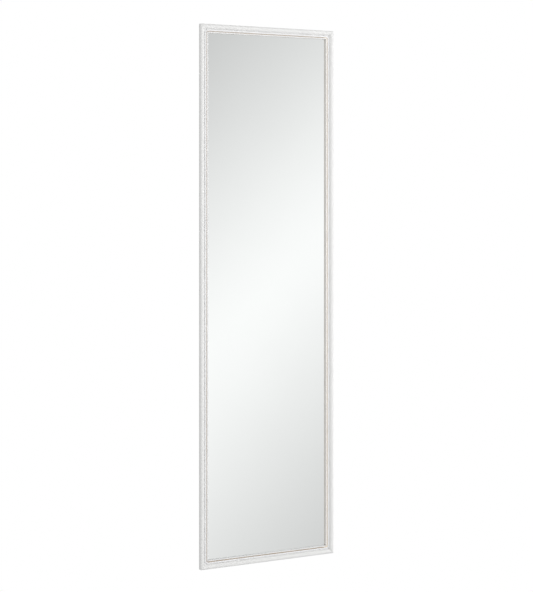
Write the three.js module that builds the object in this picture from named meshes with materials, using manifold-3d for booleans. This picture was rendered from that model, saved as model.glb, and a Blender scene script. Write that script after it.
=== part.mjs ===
// Over the door mirror: a slim mitred white frame with an antiqued slip, silvered glass and a hardboard
// back, hung from two bent steel straps that slide in keepers on the top rail.
//
// Millimetres. +X runs to the right as seen from the front, +Y from the glass back towards the door,
// +Z up. The origin is on the door's top edge, at its front face, midway between the two straps.
//
// Across the frame, "inset" is the distance in from its outer edge and "rise" the distance forward
// from its back.

import * as THREE from 'three';
import { mergeVertices } from 'three/addons/utils/BufferGeometryUtils.js';
import Module from 'manifold-3d';

const wasm = await Module();
wasm.setup();

// ---------------------------------------------------------------- driving dimensions

// Frame, outside
const FRAME_WIDTH = 355.6;
const FRAME_HEIGHT = 1270;
const FRAME_TOP = 5; // top edge above the seat of the straps, when they are down
const CORNER_RADIUS = 2.5;

// Clearances
const SEAT_GAP = 0.05; // between faces that bear on each other
const CUT_GAP = 0.15; // round a piece that is driven into another
const MITRE_GAP = 0.1; // from a rail's end to the mitre line, along the rail
const SLIP_GAP = 0.2; // between the slip and the rails round it
const GLASS_CLEARANCE = 1; // from the panes' edges to the rebate
const RUN_GAP = 0.15; // between a strap and what it slides on
const SIDE_RUN_GAP = 0.3; // beside a strap in its keeper
const STOP_GAP = 0.3; // left between a moving piece and its stop

// Panes in the rebate, from the back forwards
const POINT_RECESS = 1.2; // frame's back to the retaining points
const POINT_THICKNESS = 0.6;
const BOARD_THICKNESS = 2.4;
const COAT_THICKNESS = 0.2;
const GLASS_THICKNESS = 3;

// Rail moulding
const REBATE_INSET = 15.5; // outer edge to the rebate's wall
const BEVEL_INSET = 3; // how far the outer side runs in towards the back
const BEVEL_RISE = 6.3;
const BAND_WIDTH = 11.6; // outer edge to the quirk
const BAND_RISE = 4.6; // crest above the quirk's floor
const CREST_INSET = 5;
const CREST_EASE_OUT = 3.6; // how far the round stays near its crest, outwards
const CREST_EASE_IN = 4.6; // and inwards
const OUTER_ROUND_RISE = 5.4; // height of the outer round, from the straight side to the crest
const OUTER_EASE = 3.2; // how far the round keeps to the straight side
const FOOT_RUN = 1; // the hollow foot of the round, beside the quirk
const FOOT_RISE = 0.2;
const QUIRK_WIDTH = 0.6;
const BAND_STEPS = 9; // chords in each half of the round

// Slip: the bead, the antiqued groove and the lip
const SLIP_WIDTH = 8.3;
const SLIP_SIDE_RISE = 2.6; // bearing face on the rails' ledge to the foot of the bead
const SLIP_STEP = 1.15; // that bearing face above the slip's back
const BEAD_WIDTH = 3.8;
const BEAD_RISE = 1.9;
const GROOVE_WIDTH = 3;
const GROOVE_DEPTH = 1.4;
const LIP_RISE = 1.1; // lip's crest above the foot of the bead
const SIGHT_DROP = 0.2; // lip's crest to the sight edge
const SLIP_CORNER_INSET = 19.6; // centre of the slip's corner rounds
const SIGHT_RADIUS = 0.4;
const SLIP_CORNER_STEPS = 6;

// V-nails across the mitres
const NAIL_INSET = 9.5; // apex to the outer edges
const NAIL_LEG = 5.5;
const NAIL_THICKNESS = 0.8;
const NAIL_ANGLE = 110; // between its legs, in degrees
const NAIL_RECESS = 0.5;
const NAIL_DEPTH = 6;

// Retaining points
const POINT_WIDTH = 8;
const POINT_EMBED = 4; // driven into the rail
const POINT_REACH = 8.5; // over the panes
const POINTS_ACROSS = 2;
const POINTS_DOWN = 3;
const POINT_SPACING_ACROSS = 90;
const POINT_SPACING_DOWN = 430;

// Rubber bumpers
const BUMPER_HEIGHT = 9;
const BUMPER_RADIUS = 4.5;
const BUMPER_CHAMFER = 0.8;
const BUMPER_MARGIN = 0.5; // rebate to a bumper's rim
const BUMPER_SIDE_OFFSET = 28; // frame's left or right edge to a bumper's centre

// Straps
const STRAP_SPACING = 200;
const STRAP_WIDTH = 22;
const STRAP_THICKNESS = 2;
const STRAP_BEND_RADIUS = 2; // inside the bend
const STRAP_END_RADIUS = 4;
const STRAP_TAIL = 6; // stop rivet's centre to the strap's lower end
const STRAP_TRAVEL = 75;
const DOOR_GAP = 45; // thickest door that the straps take
const DROP_LENGTH = 32; // door's top to the tip of the strap behind the door
const PAD_THICKNESS = 1.5;
const PAD_SIDE_MARGIN = 1;
const PAD_END_MARGIN = 3;

// Keepers and their screws
const KEEPER_HEIGHT = 9.8;
const KEEPER_THICKNESS = 1.5;
const KEEPER_BEND_RADIUS = 0.5;
const KEEPER_EAR = 12;
const SCREW_RADIUS = 1.4;
const SCREW_HEAD_RADIUS = 2.75;
const SCREW_RIM_HEIGHT = 0.6;
const SCREW_DOME_HEIGHT = 1.2;
const SCREW_LENGTH = 10;
const SCREW_TIP = 3;
const RECESS_WIDTH = 0.9;
const RECESS_SPAN = 3;
const RECESS_DEPTH = 1.1;

// Clamp screws
const CLAMP_RADIUS = 2;
const CLAMP_HEAD_RADIUS = 4.5;
const CLAMP_HEAD_HEIGHT = 3.5;
const CLAMP_FACE_RADIUS = 3.2; // dished ring on the head
const CLAMP_FACE_DEPTH = 0.5;
const KNURL_COUNT = 24;
const KNURL_DEPTH = 0.35;
const CLAMP_TIP_GAP = 0.3; // from the tip to the strap, when it is slack

// Stop rivets
const RIVET_RADIUS = 1.5;
const RIVET_HEAD_RADIUS = 3;
const RIVET_DOME_HEIGHT = 1.4;

// Roundness
const ROUND_STEPS = 32;
const BEND_STEPS = 5;
const CORNER_STEPS = 6;
const DOME_STEPS = 4;

// ---------------------------------------------------------------- places worked out from them

const pointTop = POINT_RECESS + POINT_THICKNESS;
const boardBack = pointTop + SEAT_GAP;
const coatBack = boardBack + BOARD_THICKNESS + SEAT_GAP;
const glassBack = coatBack + COAT_THICKNESS + SEAT_GAP;
const glassFront = glassBack + GLASS_THICKNESS;
const slipBack = glassFront + 2 * SEAT_GAP;
const slipBearing = slipBack + SLIP_STEP;
const ledgeRise = slipBearing - SLIP_GAP;
const beadFoot = slipBearing + SLIP_SIDE_RISE;
const slipInset = BAND_WIDTH + QUIRK_WIDTH + SLIP_GAP;
const sightInset = slipInset + SLIP_WIDTH;
const crestRise = beadFoot + BAND_RISE;
const paneWidth = FRAME_WIDTH - 2 * (REBATE_INSET + GLASS_CLEARANCE);
const paneHeight = FRAME_HEIGHT - 2 * (REBATE_INSET + GLASS_CLEARANCE);

const railBack = -BUMPER_HEIGHT; // y of the frame's back
const strapFront = railBack + RUN_GAP;
const strapBack = strapFront + STRAP_THICKNESS;
const keeperInside = strapBack + RUN_GAP;
const keeperOutside = keeperInside + KEEPER_THICKNESS;
const keeperTop = -STOP_GAP;
const keeperBottom = keeperTop - KEEPER_HEIGHT;
const screwLevel = keeperTop - KEEPER_HEIGHT / 2;
const channelHalf = STRAP_WIDTH / 2 + SIDE_RUN_GAP;
const earMiddle = channelHalf + KEEPER_THICKNESS + KEEPER_EAR / 2;
const strapUnderside = PAD_THICKNESS + SEAT_GAP;
const dropFront = DOOR_GAP + PAD_THICKNESS + SEAT_GAP;
const rivetLevel = keeperBottom - STOP_GAP - STRAP_TRAVEL - RIVET_HEAD_RADIUS;
const strapBottom = rivetLevel - STRAP_TAIL;

// ---------------------------------------------------------------- finishes

const finish = (color, roughness, metalness) =>
  new THREE.MeshStandardMaterial({ color, roughness, metalness });
const whiteLacquer = finish(0xeeeeec, 0.4, 0);
const antiquedLacquer = finish(0xe6e2dc, 0.45, 0);
const silveredGlass = finish(0xdfe3e1, 0.03, 1);
const backPaint = finish(0x6f7478, 0.7, 0);
const hardboard = finish(0x8a6a48, 0.85, 0);
const zincSteel = finish(0xb9bcbd, 0.35, 1);
const whiteSteel = finish(0xe8e8e6, 0.4, 0.1);
const nickelBrass = finish(0xc8c4ba, 0.3, 1);
const greyFoam = finish(0x8b8d8e, 0.95, 0);
const darkRubber = finish(0x3a3b3c, 0.8, 0);

// ---------------------------------------------------------------- shared geometry

const object = new THREE.Group();

function addPiece(name, geometry, material, parent) {
  const piece = new THREE.Mesh(geometry, material);
  piece.name = name;
  parent.add(piece);
  return piece;
}

function toSolid(geometry) {
  const bare = geometry.clone();
  bare.deleteAttribute('normal');
  bare.deleteAttribute('uv');
  const welded = mergeVertices(bare);
  const index = welded.index.array;
  const triangles = [];
  for (let i = 0; i < index.length; i += 3) {
    const [a, b, c] = [index[i], index[i + 1], index[i + 2]];
    if (a !== b && b !== c && c !== a) {
      triangles.push(a, b, c);
    }
  }
  const vertProperties = new Float32Array(welded.getAttribute('position').array);
  const triVerts = new Uint32Array(triangles);
  return new wasm.Manifold(new wasm.Mesh({ numProp: 3, vertProperties, triVerts }));
}

function toGeometry(solid) {
  const mesh = solid.getMesh();
  const geometry = new THREE.BufferGeometry();
  geometry.setAttribute('position', new THREE.BufferAttribute(mesh.vertProperties, 3));
  geometry.setIndex(new THREE.BufferAttribute(mesh.triVerts, 1));
  return geometry;
}

function cutFrom(geometry, cutters) {
  let solid = toSolid(geometry);
  for (const cutter of cutters) {
    solid = solid.subtract(toSolid(cutter));
  }
  return toGeometry(solid);
}

// A flat plate: an outline in X and Z, from one rise to another.
function plate(outline, back, thickness) {
  const options = { depth: thickness, bevelEnabled: false, curveSegments: CORNER_STEPS };
  const geometry = new THREE.ExtrudeGeometry(outline, options);
  geometry.rotateX(Math.PI / 2);
  geometry.translate(0, -back, 0);
  return geometry;
}

// A round piece about the Y axis, from a profile of [radius, y] points that starts and ends on it.
function turned(profile) {
  const points = profile.map(([radius, y]) => new THREE.Vector2(radius, y));
  return new THREE.LatheGeometry(points, ROUND_STEPS);
}

// Profile of a domed head above a level, from its rim to the axis.
function dome(radius, level, height) {
  const profile = [];
  for (let i = 0; i <= DOME_STEPS; i += 1) {
    const angle = (i / DOME_STEPS) * (Math.PI / 2);
    const last = i === DOME_STEPS;
    profile.push([last ? 0 : radius * Math.cos(angle), level + height * Math.sin(angle)]);
  }
  return profile;
}

// What is left outside a rounded corner of an outline in X and Z.
function cornerCutter(x, z, signX, signZ, radius, front, back) {
  const outline = new THREE.Shape();
  const arc = [];
  for (let i = 0; i <= CORNER_STEPS; i += 1) {
    const angle = (i / CORNER_STEPS) * (Math.PI / 2);
    const along = x + signX * radius * (Math.cos(angle) - 1);
    const up = z + signZ * radius * (Math.sin(angle) - 1);
    arc.push(new THREE.Vector2(along, up));
  }
  arc.push(new THREE.Vector2(x - signX * radius, z + signZ * radius));
  arc.push(new THREE.Vector2(x + signX * radius, z + signZ * radius));
  arc.push(new THREE.Vector2(x + signX * radius, z - signZ * radius));
  outline.setFromPoints(arc);
  const options = { depth: back - front, bevelEnabled: false };
  const geometry = new THREE.ExtrudeGeometry(outline, options);
  geometry.rotateX(Math.PI / 2);
  geometry.translate(0, back, 0);
  return geometry;
}

// The outline of a bent sheet, from the corners of its middle line.
function bentSheet(corners, thickness, innerRadius) {
  const line = corners.map(([a, b]) => new THREE.Vector2(a, b));
  const radius = innerRadius + thickness / 2;
  const stations = [];
  const addStation = (point, heading) => {
    stations.push({ point, side: new THREE.Vector2(-Math.sin(heading), Math.cos(heading)) });
  };
  const headingOf = (from, to) => Math.atan2(to.y - from.y, to.x - from.x);
  const last = line.length - 1;
  addStation(line[0], headingOf(line[0], line[1]));
  for (let i = 1; i < last; i += 1) {
    const entering = headingOf(line[i - 1], line[i]);
    const leaving = headingOf(line[i], line[i + 1]);
    const turn = Math.atan2(Math.sin(leaving - entering), Math.cos(leaving - entering));
    const way = Math.sign(turn);
    const tangent = radius * Math.tan(Math.abs(turn) / 2);
    const start = line[i].clone();
    start.x -= tangent * Math.cos(entering);
    start.y -= tangent * Math.sin(entering);
    const centre = new THREE.Vector2(
      start.x - way * radius * Math.sin(entering),
      start.y + way * radius * Math.cos(entering),
    );
    for (let k = 0; k <= BEND_STEPS; k += 1) {
      const heading = entering + (turn * k) / BEND_STEPS;
      const point = new THREE.Vector2(
        centre.x + way * radius * Math.sin(heading),
        centre.y - way * radius * Math.cos(heading),
      );
      addStation(point, heading);
    }
  }
  addStation(line[last], headingOf(line[last - 1], line[last]));
  const half = thickness / 2;
  const near = stations.map(({ point, side }) => point.clone().addScaledVector(side, half));
  const far = stations.map(({ point, side }) => point.clone().addScaledVector(side, -half));
  const outline = new THREE.Shape();
  outline.setFromPoints([...near, ...far.reverse()]);
  return outline;
}

// ---------------------------------------------------------------- frame rails

const frame = new THREE.Group();
frame.position.set(0, railBack, FRAME_TOP - FRAME_HEIGHT / 2);
object.add(frame);

// Section of the mitred moulding, as points of inset and rise.
function railSection() {
  const section = new THREE.Shape();
  section.moveTo(REBATE_INSET, 0);
  section.lineTo(REBATE_INSET, ledgeRise);
  section.lineTo(BAND_WIDTH + QUIRK_WIDTH, ledgeRise);
  section.lineTo(BAND_WIDTH + QUIRK_WIDTH, beadFoot);
  section.lineTo(BAND_WIDTH, beadFoot);
  section.bezierCurveTo(
    BAND_WIDTH - FOOT_RUN,
    beadFoot + FOOT_RISE,
    CREST_INSET + CREST_EASE_IN,
    crestRise,
    CREST_INSET,
    crestRise,
  );
  section.bezierCurveTo(
    CREST_INSET - CREST_EASE_OUT,
    crestRise,
    0,
    crestRise - OUTER_ROUND_RISE + OUTER_EASE,
    0,
    crestRise - OUTER_ROUND_RISE,
  );
  section.lineTo(0, BEVEL_RISE);
  section.lineTo(BEVEL_INSET, 0);
  return section.getPoints(BAND_STEPS);
}

// A rail along X whose outer edge is at z = across, with both ends cut to 45 degrees.
function mitredRail(length, across) {
  const section = railSection();
  const vertices = [];
  for (const end of [-1, 1]) {
    for (const point of section) {
      vertices.push(end * (length / 2 - point.x - MITRE_GAP), -point.y, across - point.x);
    }
  }
  const count = section.length;
  const triangles = [];
  for (let i = 0; i < count; i += 1) {
    const next = (i + 1) % count;
    triangles.push(i, count + i, next);
    triangles.push(next, count + i, count + next);
  }
  for (const [a, b, c] of THREE.ShapeUtils.triangulateShape(section, [])) {
    triangles.push(a, b, c);
    triangles.push(count + a, count + c, count + b);
  }
  const geometry = new THREE.BufferGeometry();
  geometry.setAttribute('position', new THREE.Float32BufferAttribute(vertices, 3));
  geometry.setIndex(triangles);
  return geometry;
}

// A V-nail at a rail's end: its apex on the mitre, one leg in each rail.
function vNail(end, length, across, margin) {
  const half = NAIL_THICKNESS / 2 + margin;
  const leg = NAIL_LEG + margin;
  const apex = new THREE.Vector2(length / 2 - NAIL_INSET, across - NAIL_INSET);
  const spread = THREE.MathUtils.degToRad(NAIL_ANGLE / 2);
  const outward = Math.PI / 4;
  const place = (along, aside, turn) => {
    const heading = outward + turn;
    const x = apex.x + along * Math.cos(heading) - aside * Math.sin(heading);
    const z = apex.y + along * Math.sin(heading) + aside * Math.cos(heading);
    return new THREE.Vector2(end * x, z);
  };
  const crook = half / Math.sin(spread);
  const points = [
    place(-crook, 0, 0),
    place(leg, -half, -spread),
    place(leg, half, -spread),
    place(crook, 0, 0),
    place(leg, -half, spread),
    place(leg, half, spread),
  ];
  const outline = new THREE.Shape(end > 0 ? points : points.reverse());
  return plate(outline, NAIL_RECESS - margin, NAIL_DEPTH + 2 * margin);
}

// The mouth through which a V-nail was driven, from the frame's back.
function vNailSlot(end, length, across) {
  const slot = vNail(end, length, across, CUT_GAP);
  const opened = slot.clone();
  opened.translate(0, NAIL_RECESS, 0);
  return [slot, opened];
}

// A retaining point at a place along a rail: a flat steel tab with a pointed root in the rail.
function retainingPoint(along, across) {
  const root = across - (REBATE_INSET - POINT_EMBED);
  const shoulder = across - REBATE_INSET;
  const tip = across - (REBATE_INSET + POINT_REACH);
  const half = POINT_WIDTH / 2;
  const outline = new THREE.Shape();
  outline.moveTo(along, root);
  outline.lineTo(along - half, shoulder + SEAT_GAP);
  outline.lineTo(along - half, tip + half / 2);
  outline.quadraticCurveTo(along - half, tip, along - half / 2, tip);
  outline.lineTo(along + half / 2, tip);
  outline.quadraticCurveTo(along + half, tip, along + half, tip + half / 2);
  outline.lineTo(along + half, shoulder + SEAT_GAP);
  return plate(outline, POINT_RECESS, POINT_THICKNESS);
}

function retainingSlot(along, across) {
  const height = POINT_THICKNESS + 2 * CUT_GAP;
  const depth = POINT_EMBED + 2 * CUT_GAP;
  const slot = new THREE.BoxGeometry(POINT_WIDTH + 2 * CUT_GAP, height, depth);
  const middle = across - REBATE_INSET + POINT_EMBED - depth / 2 + CUT_GAP;
  slot.translate(along, -(POINT_RECESS + POINT_THICKNESS / 2), middle);
  return slot;
}

function spread(count, spacing) {
  const places = [];
  for (let i = 0; i < count; i += 1) {
    places.push((i - (count - 1) / 2) * spacing);
  }
  return places;
}

const pilotHoles = [];
for (const side of [-1, 1]) {
  for (const ear of [-1, 1]) {
    const depth = SCREW_LENGTH + 2 * STOP_GAP;
    const hole = new THREE.CylinderGeometry(
      SCREW_RADIUS + CUT_GAP,
      SCREW_RADIUS + CUT_GAP,
      depth,
      ROUND_STEPS,
    );
    const x = (side * STRAP_SPACING) / 2 + ear * earMiddle;
    const back = SEAT_GAP + KEEPER_THICKNESS + SEAT_GAP;
    hole.translate(x, back + STOP_GAP - depth / 2, screwLevel - FRAME_TOP + FRAME_HEIGHT / 2);
    pilotHoles.push(hole);
  }
}

const railSides = [
  { word: 'top', lying: true, turn: 0 },
  { word: 'bottom', lying: true, turn: Math.PI },
  { word: 'left', lying: false, turn: -Math.PI / 2 },
  { word: 'right', lying: false, turn: Math.PI / 2 },
];

for (const { word, lying, turn } of railSides) {
  const side = new THREE.Group();
  side.rotation.y = turn;
  frame.add(side);
  const length = lying ? FRAME_WIDTH : FRAME_HEIGHT;
  const across = (lying ? FRAME_HEIGHT : FRAME_WIDTH) / 2;
  const places = lying
    ? spread(POINTS_ACROSS, POINT_SPACING_ACROSS)
    : spread(POINTS_DOWN, POINT_SPACING_DOWN);
  const cutters = places.map((along) => retainingSlot(along, across));
  for (const end of [-1, 1]) {
    cutters.push(...vNailSlot(end, length, across));
    const front = -crestRise - STOP_GAP;
    const corner = (end * length) / 2;
    cutters.push(cornerCutter(corner, across, end, 1, CORNER_RADIUS, front, STOP_GAP));
  }
  if (word === 'top') {
    cutters.push(...pilotHoles);
  }
  const kind = lying ? 'rail' : 'stile';
  const rail = cutFrom(mitredRail(length, across), cutters);
  addPiece(`frame_${word}_${kind}`, rail, whiteLacquer, side);
  places.forEach((along, i) => {
    const point = retainingPoint(along, across);
    addPiece(`retaining_point_${word}_${i + 1}`, point, zincSteel, side);
  });
  if (lying) {
    for (const end of [-1, 1]) {
      const hand = end * Math.cos(turn) > 0 ? 'right' : 'left';
      const nail = vNail(end, length, across, 0);
      addPiece(`corner_v_nail_${word}_${hand}`, nail, zincSteel, side);
    }
  }
}

// ---------------------------------------------------------------- slip

// Section of the slip, as points of inset and rise: bead, antiqued groove, lip and sight edge.
function slipSection() {
  const beadEnd = slipInset + BEAD_WIDTH;
  const grooveEnd = beadEnd + GROOVE_WIDTH;
  const grooveMiddle = (beadEnd + grooveEnd) / 2;
  const lipRise = beadFoot + LIP_RISE;
  const lipMiddle = (grooveEnd + sightInset) / 2;
  const section = new THREE.Shape();
  section.moveTo(slipInset, slipBearing);
  section.lineTo(REBATE_INSET + SLIP_GAP, slipBearing);
  section.lineTo(REBATE_INSET + SLIP_GAP, slipBack);
  section.lineTo(sightInset, slipBack);
  section.lineTo(sightInset, lipRise - SIGHT_DROP);
  section.quadraticCurveTo(lipMiddle, lipRise + SIGHT_DROP, grooveEnd, beadFoot);
  section.quadraticCurveTo(grooveMiddle, beadFoot - 2 * GROOVE_DEPTH, beadEnd, beadFoot);
  section.absellipse(
    slipInset + BEAD_WIDTH / 2,
    beadFoot,
    BEAD_WIDTH / 2,
    BEAD_RISE,
    0,
    Math.PI,
    false,
    0,
  );
  return section.getPoints(BAND_STEPS);
}

// The section carried round the frame; its corners are rounded about one centre.
function slipRing() {
  const section = slipSection();
  const clean = section.filter((point, i) => {
    const before = section[(i + section.length - 1) % section.length];
    return point.distanceTo(before) > SEAT_GAP;
  });
  const corners = [
    [1, 1],
    [-1, 1],
    [-1, -1],
    [1, -1],
  ];
  const vertices = [];
  for (const point of clean) {
    const radius = Math.max(SLIP_CORNER_INSET - point.x, SIGHT_RADIUS);
    const halfWidth = FRAME_WIDTH / 2 - point.x - radius;
    const halfHeight = FRAME_HEIGHT / 2 - point.x - radius;
    corners.forEach(([signX, signZ], quadrant) => {
      for (let k = 0; k <= SLIP_CORNER_STEPS; k += 1) {
        const angle = (quadrant + k / SLIP_CORNER_STEPS) * (Math.PI / 2);
        const x = signX * halfWidth + radius * Math.cos(angle);
        const z = signZ * halfHeight + radius * Math.sin(angle);
        vertices.push(x, -point.y, z);
      }
    });
  }
  const around = corners.length * (SLIP_CORNER_STEPS + 1);
  const triangles = [];
  for (let i = 0; i < clean.length; i += 1) {
    const next = (i + 1) % clean.length;
    for (let k = 0; k < around; k += 1) {
      const onward = (k + 1) % around;
      triangles.push(i * around + k, next * around + k, i * around + onward);
      triangles.push(next * around + k, next * around + onward, i * around + onward);
    }
  }
  const geometry = new THREE.BufferGeometry();
  geometry.setAttribute('position', new THREE.Float32BufferAttribute(vertices, 3));
  geometry.setIndex(triangles);
  return geometry;
}

addPiece('inner_bead', slipRing(), antiquedLacquer, frame);

// ---------------------------------------------------------------- panes

function pane(name, back, thickness, material) {
  const geometry = new THREE.BoxGeometry(paneWidth, thickness, paneHeight);
  geometry.translate(0, -(back + thickness / 2), 0);
  addPiece(name, geometry, material, frame);
}

pane('mirror_glass', glassBack, GLASS_THICKNESS, silveredGlass);
pane('mirror_back_coat', coatBack, COAT_THICKNESS, backPaint);
pane('backing_board', boardBack, BOARD_THICKNESS, hardboard);

// ---------------------------------------------------------------- bumpers

const bumperInset = REBATE_INSET - BUMPER_MARGIN - BUMPER_RADIUS;
for (const [hand, signX] of [['left', -1], ['right', 1]]) {
  for (const [level, signZ] of [['upper', 1], ['lower', -1]]) {
    const bumper = turned([
      [0, SEAT_GAP],
      [BUMPER_RADIUS, SEAT_GAP],
      [BUMPER_RADIUS, BUMPER_HEIGHT - BUMPER_CHAMFER],
      [BUMPER_RADIUS - BUMPER_CHAMFER, BUMPER_HEIGHT],
      [0, BUMPER_HEIGHT],
    ]);
    const piece = addPiece(`door_bumper_${level}_${hand}`, bumper, darkRubber, frame);
    const x = signX * (FRAME_WIDTH / 2 - BUMPER_SIDE_OFFSET);
    piece.position.set(x, 0, signZ * (FRAME_HEIGHT / 2 - bumperInset));
  }
}

// ---------------------------------------------------------------- straps, keepers and clamps

// An outline in Y and Z, extruded across X about its middle.
function crosswise(outline, width) {
  const geometry = new THREE.ExtrudeGeometry(outline, { depth: width, bevelEnabled: false });
  geometry.translate(0, 0, -width / 2);
  const alongY = new THREE.Vector3(0, 1, 0);
  const alongZ = new THREE.Vector3(0, 0, 1);
  const alongX = new THREE.Vector3(1, 0, 0);
  return geometry.applyMatrix4(new THREE.Matrix4().makeBasis(alongY, alongZ, alongX));
}

function roundHole(radius, x, y, z, length) {
  const hole = new THREE.CylinderGeometry(radius, radius, length, ROUND_STEPS);
  hole.translate(x, y, z);
  return hole;
}

function strap() {
  const legMiddle = strapFront + STRAP_THICKNESS / 2;
  const bridgeMiddle = strapUnderside + STRAP_THICKNESS / 2;
  const dropMiddle = dropFront + STRAP_THICKNESS / 2;
  const corners = [
    [legMiddle, strapBottom],
    [legMiddle, bridgeMiddle],
    [dropMiddle, bridgeMiddle],
    [dropMiddle, -DROP_LENGTH],
  ];
  const outline = bentSheet(corners, STRAP_THICKNESS, STRAP_BEND_RADIUS);
  const reach = STRAP_THICKNESS;
  const cutters = [roundHole(RIVET_RADIUS + CUT_GAP, 0, legMiddle, rivetLevel, 2 * reach)];
  for (const side of [-1, 1]) {
    const x = (side * STRAP_WIDTH) / 2;
    const leg = [strapFront - reach, strapBack + reach];
    const drop = [dropFront - reach, dropFront + 2 * reach];
    cutters.push(cornerCutter(x, strapBottom, side, -1, STRAP_END_RADIUS, ...leg));
    cutters.push(cornerCutter(x, -DROP_LENGTH, side, -1, STRAP_END_RADIUS, ...drop));
  }
  return cutFrom(crosswise(outline, STRAP_WIDTH), cutters);
}

function pad() {
  const under = PAD_THICKNESS / 2;
  const inside = DOOR_GAP + PAD_THICKNESS / 2;
  const start = strapBack + STRAP_BEND_RADIUS + STOP_GAP;
  const corners = [
    [start, under],
    [inside, under],
    [inside, -DROP_LENGTH + PAD_END_MARGIN],
  ];
  const innerRadius = STRAP_BEND_RADIUS - SEAT_GAP - PAD_THICKNESS;
  const outline = bentSheet(corners, PAD_THICKNESS, innerRadius);
  return crosswise(outline, STRAP_WIDTH - 2 * PAD_SIDE_MARGIN);
}

function keeper() {
  const half = KEEPER_THICKNESS / 2;
  const earY = railBack + SEAT_GAP + half;
  const hatY = keeperInside + half;
  const wallX = channelHalf + half;
  const earEnd = channelHalf + KEEPER_THICKNESS + KEEPER_EAR;
  const corners = [
    [-earEnd, earY],
    [-wallX, earY],
    [-wallX, hatY],
    [wallX, hatY],
    [wallX, earY],
    [earEnd, earY],
  ];
  const outline = bentSheet(corners, KEEPER_THICKNESS, KEEPER_BEND_RADIUS);
  const options = { depth: KEEPER_HEIGHT, bevelEnabled: false };
  const geometry = new THREE.ExtrudeGeometry(outline, options);
  geometry.translate(0, 0, keeperBottom);
  const through = 3 * KEEPER_THICKNESS;
  const cutters = [roundHole(CLAMP_RADIUS + CUT_GAP, 0, hatY, screwLevel, through)];
  for (const ear of [-1, 1]) {
    const hole = roundHole(SCREW_RADIUS + CUT_GAP, ear * earMiddle, earY, screwLevel, through);
    cutters.push(hole);
  }
  return cutFrom(geometry, cutters);
}

// A pan-head wood screw with a cross recess, its head's bearing face at y = 0.
function keeperScrew() {
  const body = turned([
    [0, -SCREW_LENGTH],
    [SCREW_RADIUS, -SCREW_LENGTH + SCREW_TIP],
    [SCREW_RADIUS, 0],
    [SCREW_HEAD_RADIUS, 0],
    ...dome(SCREW_HEAD_RADIUS, SCREW_RIM_HEIGHT, SCREW_DOME_HEIGHT),
  ]);
  const cutters = [
    new THREE.BoxGeometry(RECESS_SPAN, 2 * RECESS_DEPTH, RECESS_WIDTH),
    new THREE.BoxGeometry(RECESS_WIDTH, 2 * RECESS_DEPTH, RECESS_SPAN),
  ];
  for (const cutter of cutters) {
    cutter.translate(0, SCREW_RIM_HEIGHT + SCREW_DOME_HEIGHT, 0);
  }
  return cutFrom(body, cutters);
}

// A knurled thumb screw, its head's bearing face at y = 0.
function clampScrew() {
  const outline = new THREE.Shape();
  const rim = [];
  for (let i = 0; i < 2 * KNURL_COUNT; i += 1) {
    const angle = (i / (2 * KNURL_COUNT)) * 2 * Math.PI;
    const radius = CLAMP_HEAD_RADIUS - (i % 2) * KNURL_DEPTH;
    rim.push(new THREE.Vector2(radius * Math.cos(angle), radius * Math.sin(angle)));
  }
  outline.setFromPoints(rim);
  const head = plate(outline, -CLAMP_HEAD_HEIGHT, CLAMP_HEAD_HEIGHT);
  const shankLength = keeperOutside + SEAT_GAP - strapBack - CLAMP_TIP_GAP;
  const shank = turned([
    [0, -shankLength],
    [CLAMP_RADIUS, -shankLength],
    [CLAMP_RADIUS, CLAMP_HEAD_HEIGHT / 2],
    [0, CLAMP_HEAD_HEIGHT / 2],
  ]);
  const dish = turned([
    [0, CLAMP_HEAD_HEIGHT - CLAMP_FACE_DEPTH],
    [CLAMP_FACE_RADIUS, CLAMP_HEAD_HEIGHT - CLAMP_FACE_DEPTH],
    [CLAMP_FACE_RADIUS, CLAMP_HEAD_HEIGHT + CLAMP_FACE_DEPTH],
    [0, CLAMP_HEAD_HEIGHT + CLAMP_FACE_DEPTH],
  ]);
  return toGeometry(toSolid(head).add(toSolid(shank)).subtract(toSolid(dish)));
}

// A domed rivet from behind, flush with the strap's front.
function stopRivet() {
  const shankLength = STRAP_THICKNESS + SEAT_GAP;
  return turned([
    [0, -shankLength],
    [RIVET_RADIUS, -shankLength],
    [RIVET_RADIUS, 0],
    ...dome(RIVET_HEAD_RADIUS, 0, RIVET_DOME_HEIGHT),
  ]);
}

for (const [hand, side] of [['left', -1], ['right', 1]]) {
  const hanger = new THREE.Group();
  hanger.position.x = (side * STRAP_SPACING) / 2;
  object.add(hanger);
  addPiece(`${hand}_hook_strap`, strap(), whiteSteel, hanger);
  addPiece(`${hand}_hook_pad`, pad(), greyFoam, hanger);
  addPiece(`${hand}_hook_keeper`, keeper(), whiteSteel, hanger);
  const rivet = addPiece(`${hand}_stop_rivet`, stopRivet(), zincSteel, hanger);
  rivet.position.set(0, strapBack + SEAT_GAP, rivetLevel);
  const clamp = addPiece(`${hand}_clamp_screw`, clampScrew(), nickelBrass, hanger);
  clamp.position.set(0, keeperOutside + SEAT_GAP, screwLevel);
  for (const [end, ear] of [['a', -1], ['b', 1]]) {
    const screw = addPiece(`${hand}_keeper_screw_${end}`, keeperScrew(), zincSteel, hanger);
    const bearing = railBack + SEAT_GAP + KEEPER_THICKNESS + SEAT_GAP;
    screw.position.set(ear * earMiddle, bearing, screwLevel);
  }
}

export default object;
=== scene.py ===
import math

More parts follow.
